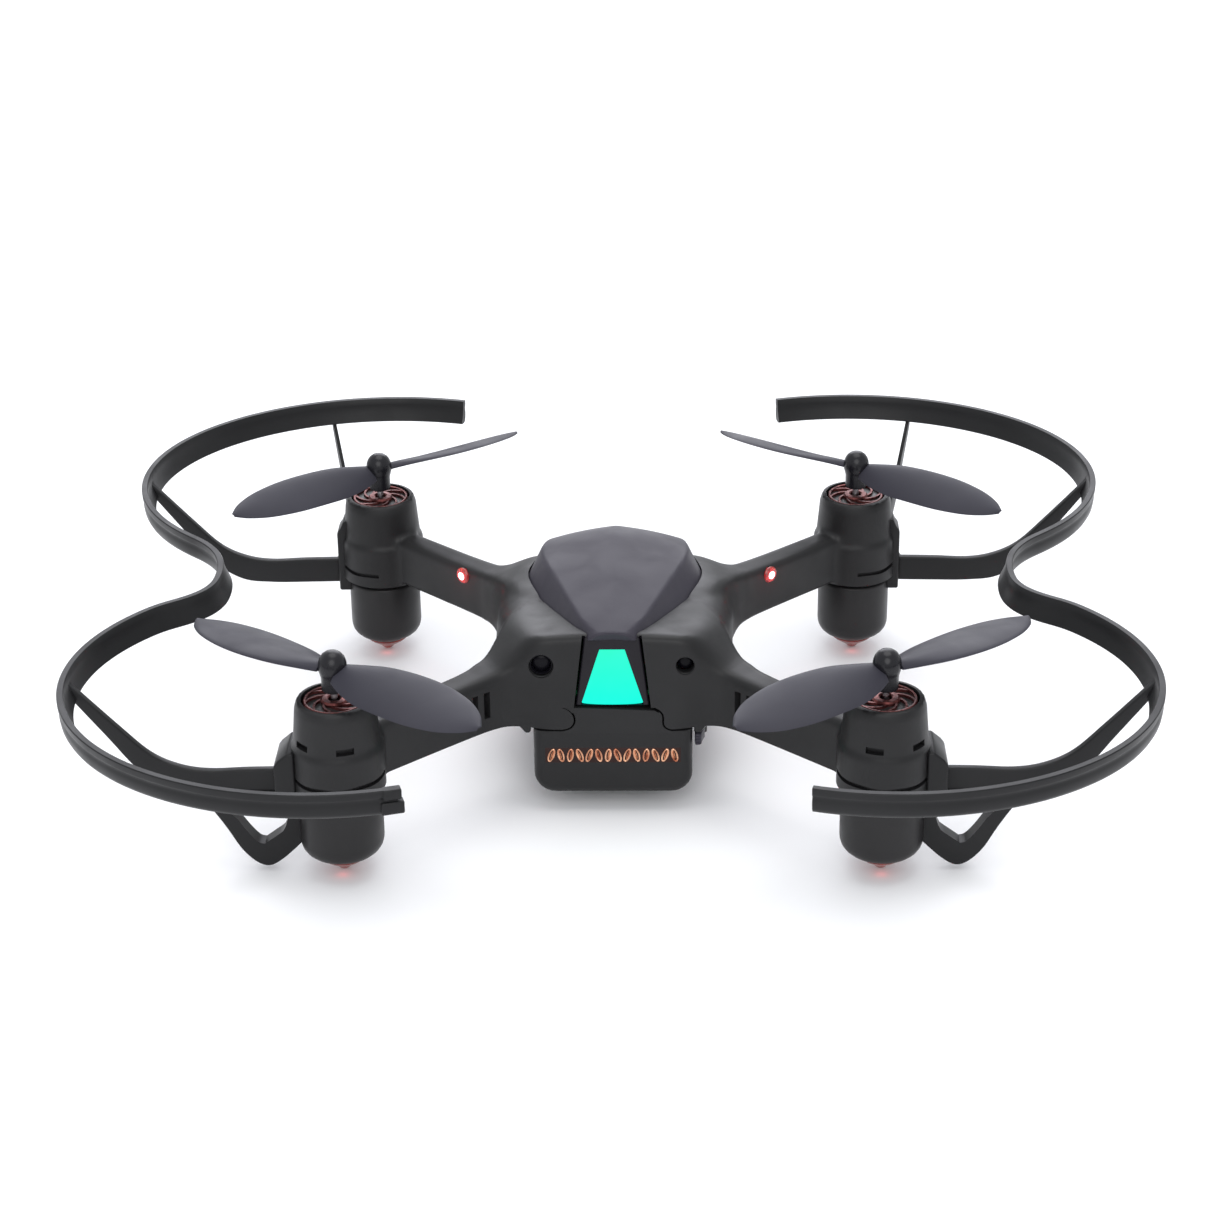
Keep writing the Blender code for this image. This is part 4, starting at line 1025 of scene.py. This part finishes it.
def make_pod(corner, sx, sy):
    at = (sx * MOTOR_X, sy * MOTOR_Y, 0)
    outside = ((5.5, 13.3), (5.75, 13.25), (6.0, 13.1), (6.08, 12.8), (6.08, 5.6), (6.02, 5.0), (5.85, 4.4))
    bottom = ((5.5, 3.85), (5.0, 3.4), (4.3, 3.0), (3.4, 2.5), (2.4, 1.95), (1.8, 1.75))
    inside = ((1.62, 1.85), (1.62, 3.2), (3.9, 3.8), (5.1, 6.4), (5.1, 13.2))
    skin = [(radius * CAP_SHARE[sy], z) for radius, z in outside + bottom]
    cup = finish_mesh(f"cup_{corner}", turned((*skin, *inside), 96), at, 50.0)
    piece(cup, "airframe", "cap_black", [f"pod_cap_{corner}"])
    tip = ((0.0, 0.0), (0.4, 0.04), (0.75, 0.2), (1.05, 0.5), (1.35, 0.85), (2.1, 1.3), (2.9, 1.85))
    stem = ((3.4, 2.3), (3.45, 2.62), (1.55, 1.9), (1.55, 3.9), (3.2, 3.9), (3.2, 4.8), (0.0, 4.8))
    foot = finish_mesh(f"foot_{corner}", turned(tip + stem, 64), at)
    piece(foot, "airframe", "red_lens", replaces=[f"foot_light_{corner}"])
    rod_profile = ((0.0, 25.7), (0.5, 25.7), (0.5, 31.6), (0.42, 31.8), (0.0, 31.8))
    shaft = finish_mesh(f"rod_{corner}", turned(rod_profile, 32), at)
    piece(shaft, f"rotor_{corner}", "motor_steel", replaces=[f"shaft_{corner}"])
    make_motor_end(corner, sx * sy, at)


def make_motor_end(corner, spin, at, vanes=8):
    """The motor's vented end: plated spiral vanes, a rim and a bearing boss over a dark disc, painted vent shade.
    """
    # the dark disc under the vanes stands in for the shade down in the vents: painted shade
    profile = ((0.9, 26.9), (4.45, 26.9), (4.45, 27.25), (0.9, 27.25))
    base = finish_mesh(f"vent_shade_disc_{corner}", turned(profile, 64), at)
    piece(base, "airframe", "chip_black")
    bm = turned(((4.05, 27.25), (4.5, 27.25), (4.5, 27.6), (4.35, 27.75), (4.1, 27.7)), 72)
    boss = turned(((0.9, 27.25), (2.0, 27.25), (2.0, 27.6), (1.75, 27.85), (1.1, 27.9), (0.9, 27.75)), 48)
    for k in range(vanes):
        add_vane(boss, spin, math.tau * k / vanes)
    merge(bm, boss)
    end = finish_mesh(f"vanes_{corner}", bm, at)
    piece(end, "airframe", "copper", [f"motor_plate_{corner}"])


def add_vane(bm, spin, start, low=27.25, high=27.62, steps=10):
    rings = []
    for i in range(steps + 1):
        share = i / steps
        radius = 1.9 + 2.25 * share
        angle = start + spin * 0.95 * share
        half = 0.26 + 0.16 * share
        across = Vector((-math.sin(angle), math.cos(angle), 0.0))
        middle = Vector((math.cos(angle), math.sin(angle), 0.0)) * radius
        corners = ((-half, low), (half, low), (half * 0.7, high), (-half * 0.7, high))
        rings.append([tuple(middle + across * side + Vector((0, 0, z))) for side, z in corners])
    merge(bm, loft(rings))


def merge(bm, other):
    mesh = bpy.data.meshes.new("merged")
    other.to_mesh(mesh)
    other.free()
    bm.from_mesh(mesh)
    bpy.data.meshes.remove(mesh)


def make_arm_light(corner, sx, sy):
    stem = ((0.0, 1.0), (0.92, 1.0), (0.92, 2.35))
    rim = ((1.28, 2.4), (1.32, 2.58), (1.18, 2.78), (0.8, 2.92), (0.0, 2.95))
    light = finish_mesh(f"lamp_{corner}", arm_pin(sx, sy, stem + rim))
    piece(light, "airframe", "red_led", [f"arm_light_{corner}"])
    core = ((0.0, 2.7), (0.66, 2.7), (0.64, 2.96), (0.48, 3.08), (0.2, 3.14), (0.0, 3.15))
    piece(finish_mesh(f"lamp_core_{corner}", arm_pin(sx, sy, core)), "airframe", "led_core")


def make_screw(corner, x, y):
    low = HULL_BOTTOM + 0.12
    head = ((0.0, 0.35), (0.25, 0.35), (0.7, 0.0), (1.05, 0.05), (1.25, 0.25), (1.25, 0.5), (0.55, 0.55))
    profile = (*((radius, low + rise) for radius, rise in head), (0.55, 19.0), (0.0, 19.3))
    screw = finish_mesh(f"screw_{corner}", turned(profile, 32), (x, y, 0))
    slots = [
        finish_mesh(f"recess_{corner}_{i}", box((x - a, y - b, low - 1), (x + a, y + b, low + 0.3)))
        for i, (a, b) in enumerate(((0.75, 0.13), (0.13, 0.75)))
    ]
    combine(screw, slots, "DIFFERENCE")
    piece(screw, "airframe", "motor_steel", replaces=[f"belly_screw_{corner}"])


# ---- propellers

BLADE_RADIUS, BLADE_Z, BLADE_REST_ANGLE = 27.5, 32.0, 37.0
# fraction of the radius, chord, pitch in degrees, thickness, sweep of the mid chord
BLADE_ROWS = (
    (0.05, 3.8, 32.0, 1.3, 0.0),
    (0.14, 6.0, 29.0, 1.2, 0.0),
    (0.28, 8.4, 25.0, 1.0, 0.1),
    (0.46, 9.4, 21.5, 0.85, 0.2),
    (0.64, 9.2, 20.0, 0.7, 0.1),
    (0.81, 7.4, 19.0, 0.6, -0.1),
    (0.93, 4.4, 18.0, 0.5, -0.3),
    (1.00, 1.0, 18.0, 0.35, -0.5),
)


def blade_section(chord, thickness, points=22):
    """An aerofoil, rounded in front and thin behind, with a little camber."""
    section = []
    for i in range(points):
        angle = math.tau * i / points
        across = 0.5 * math.cos(angle)
        fullness = 0.62 + 0.38 * across * 2.0
        camber = 0.55 * thickness * (1.0 - 4.0 * across * across)
        section.append((across * chord, camber + 0.5 * thickness * math.sin(angle) * fullness))
    return section


def blade(angle, spin, widen, flatten, stations=7):
    """One twisted blade. Its leading edge, the higher one, is on the side it turns towards."""
    rings = []
    for fraction, chord, pitch, thickness, sweep in smooth_run(BLADE_ROWS, stations):
        radius = fraction * BLADE_RADIUS
        turn = math.radians(pitch * flatten)
        ring = []
        for across, rise in blade_section(chord * widen, thickness):
            across += sweep
            side = across * math.cos(turn) - rise * math.sin(turn)
            z = BLADE_Z + across * math.sin(turn) + rise * math.cos(turn)
            ring.append(tuple(Matrix.Rotation(angle, 3, "Z") @ Vector((radius, spin * side, z))))
        rings.append(ring)
    return loft(rings)


# front or rear: how much wider and flatter the blades are than their rows
BLADE_SHARES = {-1: (1.1, 0.47), 1: (0.86, 0.88)}


def make_propeller(corner, sx, sy):
    at = (sx * MOTOR_X, sy * MOTOR_Y, 0)
    neck = ((0.8, 29.2), (1.6, 29.2), (1.72, 29.35), (1.74, 31.3), (1.9, 31.9), (2.06, 32.5), (2.08, 33.0))
    dome = ((2.0, 33.6), (1.8, 34.2), (1.45, 34.7), (1.0, 35.05), (0.5, 35.25), (0.0, 35.3))
    hub = finish_mesh(f"hub_{corner}", turned((*neck, *dome, (0.0, 32.1), (0.8, 32.1)), 64), at)
    piece(hub, f"rotor_{corner}", "hub_black")
    spin = sx * sy
    first = -spin * math.radians(BLADE_REST_ANGLE)
    root = ((0.85, 31.5), (1.7, 31.5), (1.7, 32.6), (0.85, 32.6))
    pair = finish_mesh(f"blades_{corner}", turned(root, 32), at)
    blades = [
        finish_mesh(f"blade_{corner}_{i}", blade(first + math.pi * i, spin, *BLADE_SHARES[sy]), at)
        for i in range(2)
    ]
    combine(pair, blades, "UNION")
    # the blades' lighter grey is painted sheen over the hub's dark plastic
    piece(pair, f"rotor_{corner}", "blade_painted_sheen", [f"propeller_{corner}"])


# ---- guards

RIM_X, RIM_Y, RIM_END_X = 38.7, 34.6, 27.0
WAIST_SHIFT, WAIST_SPAN = Vector((1.2, -1.8)), 14.0
WAIST_X, WAIST_LEAVE_X, WAIST_HANDLES = 61.7, 66.0, (5.2, 4.4)
# The ribbon's section: distance outward from the rim, z. A groove runs along its outer face.
RIBBON = (
    *((-0.12, 31.6), (0.0, 31.45), (-0.02, 30.75), (-0.1, 30.5), (-0.24, 30.3), (-0.26, 29.95)),
    *((-0.16, 29.7), (-0.14, 29.2), (-0.25, 28.4), (-0.5, 27.9), (-0.8, 27.7), (-1.9, 27.72)),
    *((-2.1, 27.9), (-1.95, 28.3), (-1.5, 29.3), (-1.15, 30.5), (-1.02, 31.45), (-0.9, 31.6)),
)
STRUT_START = 7.2
STRUT_TOP = ((7.2, 16.6), (13.0, 16.5), (18.6, 16.3), (22.8, 17.0), (26.8, 19.0), (31.0, 23.2), (37.9, 30.7))
STRUT_LOW = ((37.9, 28.7), (32.8, 21.9), (28.6, 16.4), (23.8, 13.1), (18.8, 12.4), (13.0, 12.4), (7.2, 12.5))
BRACE_ANGLE = 19.0
# front or rear clip: inner and outer distance from the pod's axis, z of its top, half its width
CLIPS = {-1: (5.9, 8.9, 20.6, 3.6), 1: (5.2, 7.3, 24.0, 2.2)}
LOOP_OUTSIDE = ((20.6, 13.2), (18.6, 10.4), (16.6, 7.2), (14.8, 3.9), (13.2, 2.0), (11.7, 1.0), (10.3, 1.0))
LOOP_INSIDE = ((8.6, 2.1), (7.3, 3.3), (6.3, 4.3), (5.6, 5.4), (5.6, 9.0), (5.6, 13.2))
HOLE_OUTSIDE = ((11.2, 4.65), (12.1, 4.9), (13.4, 6.4), (14.9, 8.7), (17.2, 12.4))
HOLE_INSIDE = ((8.0, 12.4), (8.0, 7.6), (9.4, 6.0))


def rim_half(steps):
    start = -math.acos((MOTOR_X - RIM_END_X) / RIM_X)
    leave = -math.tau + math.acos(-(WAIST_LEAVE_X - MOTOR_X) / RIM_X)
    run = []
    for angle in np.linspace(start, leave, steps + 1):
        run.append((RIM_X * math.cos(angle) - MOTOR_X, RIM_Y * math.sin(angle) - MOTOR_Y))
    heading = (Vector(run[-1]) - Vector(run[-2])).normalized()
    first, last = Vector(run[-1]), Vector((-WAIST_X, 0.0))
    corners = (first, first + heading * WAIST_HANDLES[0], last - Vector((0.0, WAIST_HANDLES[1])), last)
    waist_steps = steps // 5
    for i in range(1, waist_steps + 1):
        t = i / waist_steps
        shares = ((1 - t) ** 3, 3 * (1 - t) ** 2 * t, 3 * (1 - t) * t * t, t**3)
        run.append(tuple(sum((point * share for share, point in zip(shares, corners)), Vector((0.0, 0.0)))))
    return run


def waist_shift(x, y):
    """The guard's middle stands a little inward and forward."""
    share = max(1.0 - (y / WAIST_SPAN) ** 2, 0.0) ** 2 * (x < -50.0)
    return x + WAIST_SHIFT.x * share, y + WAIST_SHIFT.y * share


def ribbon(sx, steps=100):
    half = rim_half(steps)
    path = [waist_shift(x, y) for x, y in half + [(x, -y) for x, y in reversed(half[:-1])]]
    rings = []
    for i, (x, y) in enumerate(path):
        heading = (Vector(path[min(i + 1, len(path) - 1)]) - Vector(path[max(i - 1, 0)])).normalized()
        nx, ny = -heading.y, heading.x
        rings.append([(-sx * (x + out * nx), y + out * ny, z) for out, z in RIBBON])
    return loft(rings)


def place_at_pod(bm, sx, sy, turn=0.0):
    bm.transform(Matrix.Rotation(math.radians(turn), 4, "Z"))
    bm.transform(Matrix.Diagonal((sx, sy, 1.0, 1.0)))
    bm.transform(Matrix.Translation((sx * MOTOR_X, sy * MOTOR_Y, 0.0)))
    return bm


def plate(name, outline, thickness, sx, sy, turn=0.0, rounding=0.3):
    """A flat upright plate with rounded edges, drawn outward from a pod."""
    bm = place_at_pod(prism(outline, -thickness / 2, thickness / 2, "XZ"), sx, sy, turn)
    made = finish_mesh(name, bm)
    if rounding:
        rounded(made, rounding, 35.0)
    return made


def strut_outline(reach, drop=0.0):
    outline = smooth_run(STRUT_TOP, 6) + smooth_run(STRUT_LOW, 6)
    points = []
    for u, z in outline:
        share = (u - STRUT_START) / (RIM_X - STRUT_START)
        points.append((STRUT_START + (u - STRUT_START) * reach, z - drop * share**2))
    return points


def brace_foot(name, sx, steps=24):
    """A collar round the outer rear quarter of the rear pod."""
    low, high, inner, outer = 12.6, 16.2, 7.0, 8.1
    edge = outer - 0.2
    section = ((inner, low), (edge, low), (outer, low + 0.2), (outer, high - 0.2), (edge, high), (inner, high))
    angles = np.radians(np.linspace(0.0, 94.0 - BRACE_ANGLE, steps))
    rings = [round_ring(section, angle) for angle in angles]
    return finish_mesh(name, place_at_pod(loft(rings), sx, 1))


def end_tab(name, low, high, start, end, depth):
    """A block on the left guard's front free end."""
    heading = Vector((0.96, 0.28))
    across = Vector((0.28, -0.96))
    x, y = rim_half(8)[0]
    outline = []
    for run, out in ((start, -1.3), (end, -1.3), (end, depth), (start, depth)):
        point = Vector((x, y)) + heading * run + across * out
        outline.append(tuple(point))
    return rounded(finish_mesh(name, prism(outline, low, high)), 0.22)


def make_guard(side, sx):
    guard = finish_mesh(f"ring_{side}", ribbon(sx))
    brace_reach = (RIM_Y + 0.3 - STRUT_START) / (RIM_X - STRUT_START)
    added = [
        plate(f"brace_{side}", strut_outline(brace_reach, 2.0), 0.6, sx, 1, 90.0 - BRACE_ANGLE, 0.2),
        brace_foot(f"foot_{side}", sx),
    ]
    loop = plate(f"loop_{side}", smooth_run(LOOP_OUTSIDE + LOOP_INSIDE, 3), 2.4, sx, -1)
    hole = plate(f"loop_hole_{side}", smooth_run(HOLE_OUTSIDE + HOLE_INSIDE, 3), 6.0, sx, -1, 0.0, 0.0)
    added.append(combine(loop, [hole], "DIFFERENCE"))
    for end, sy in (("front", -1), ("rear", 1)):
        added.append(plate(f"strut_{side}_{end}", strut_outline(1.0), 1.4, sx, sy))
        inner, outer, top, half = CLIPS[sy]
        face = ((inner, 11.6), (outer, 11.6), (outer, top - 2.0), (outer - 0.6, top - 1.2))
        outline = (*face, (inner + 1.0, top), (inner, top))
        added.append(plate(f"clip_{side}_{end}", outline, 2 * half, sx, sy, 0.0, 0.35))
    if sx < 0:
        added.append(end_tab("tab_upper", 30.1, 31.6, -2.0, 0.5, 0.15))
        added.append(end_tab("tab_lower", 28.0, 29.8, -2.3, 0.8, 0.25))
    combine(guard, added, "UNION")
    piece(guard, "airframe", "guard_black", [f"guard_{side}"])


# ---- kept CAD nodes and assembly


def dress_cad():
    slots = {entry["node"]: entry["material_slot"] for entry in frame["record"]["subparts"]}
    for name, obj in frame["nodes"].items():
        if obj.hide_render:
            continue
        obj.data.materials.clear()
        obj.data.materials.append(LOOKS[slots[name]])


add_camera()
add_studio()
LOOKS = make_looks()
make_shell()
make_canopy()
make_front_light()
make_camera()
make_button()
make_battery_cap()
make_contacts()
make_battery_case()
make_latch()
for corner_name, side_x, side_y in CORNERS:
    make_pod(corner_name, side_x, side_y)
    make_propeller(corner_name, side_x, side_y)
    if side_y > 0:
        make_arm_light(corner_name, side_x, side_y)
    make_screw(corner_name, side_x * SCREW_X, SCREW_Y[side_y])
for side_name, side_x in SIDES:
    make_guard(side_name, side_x)
dress_cad()
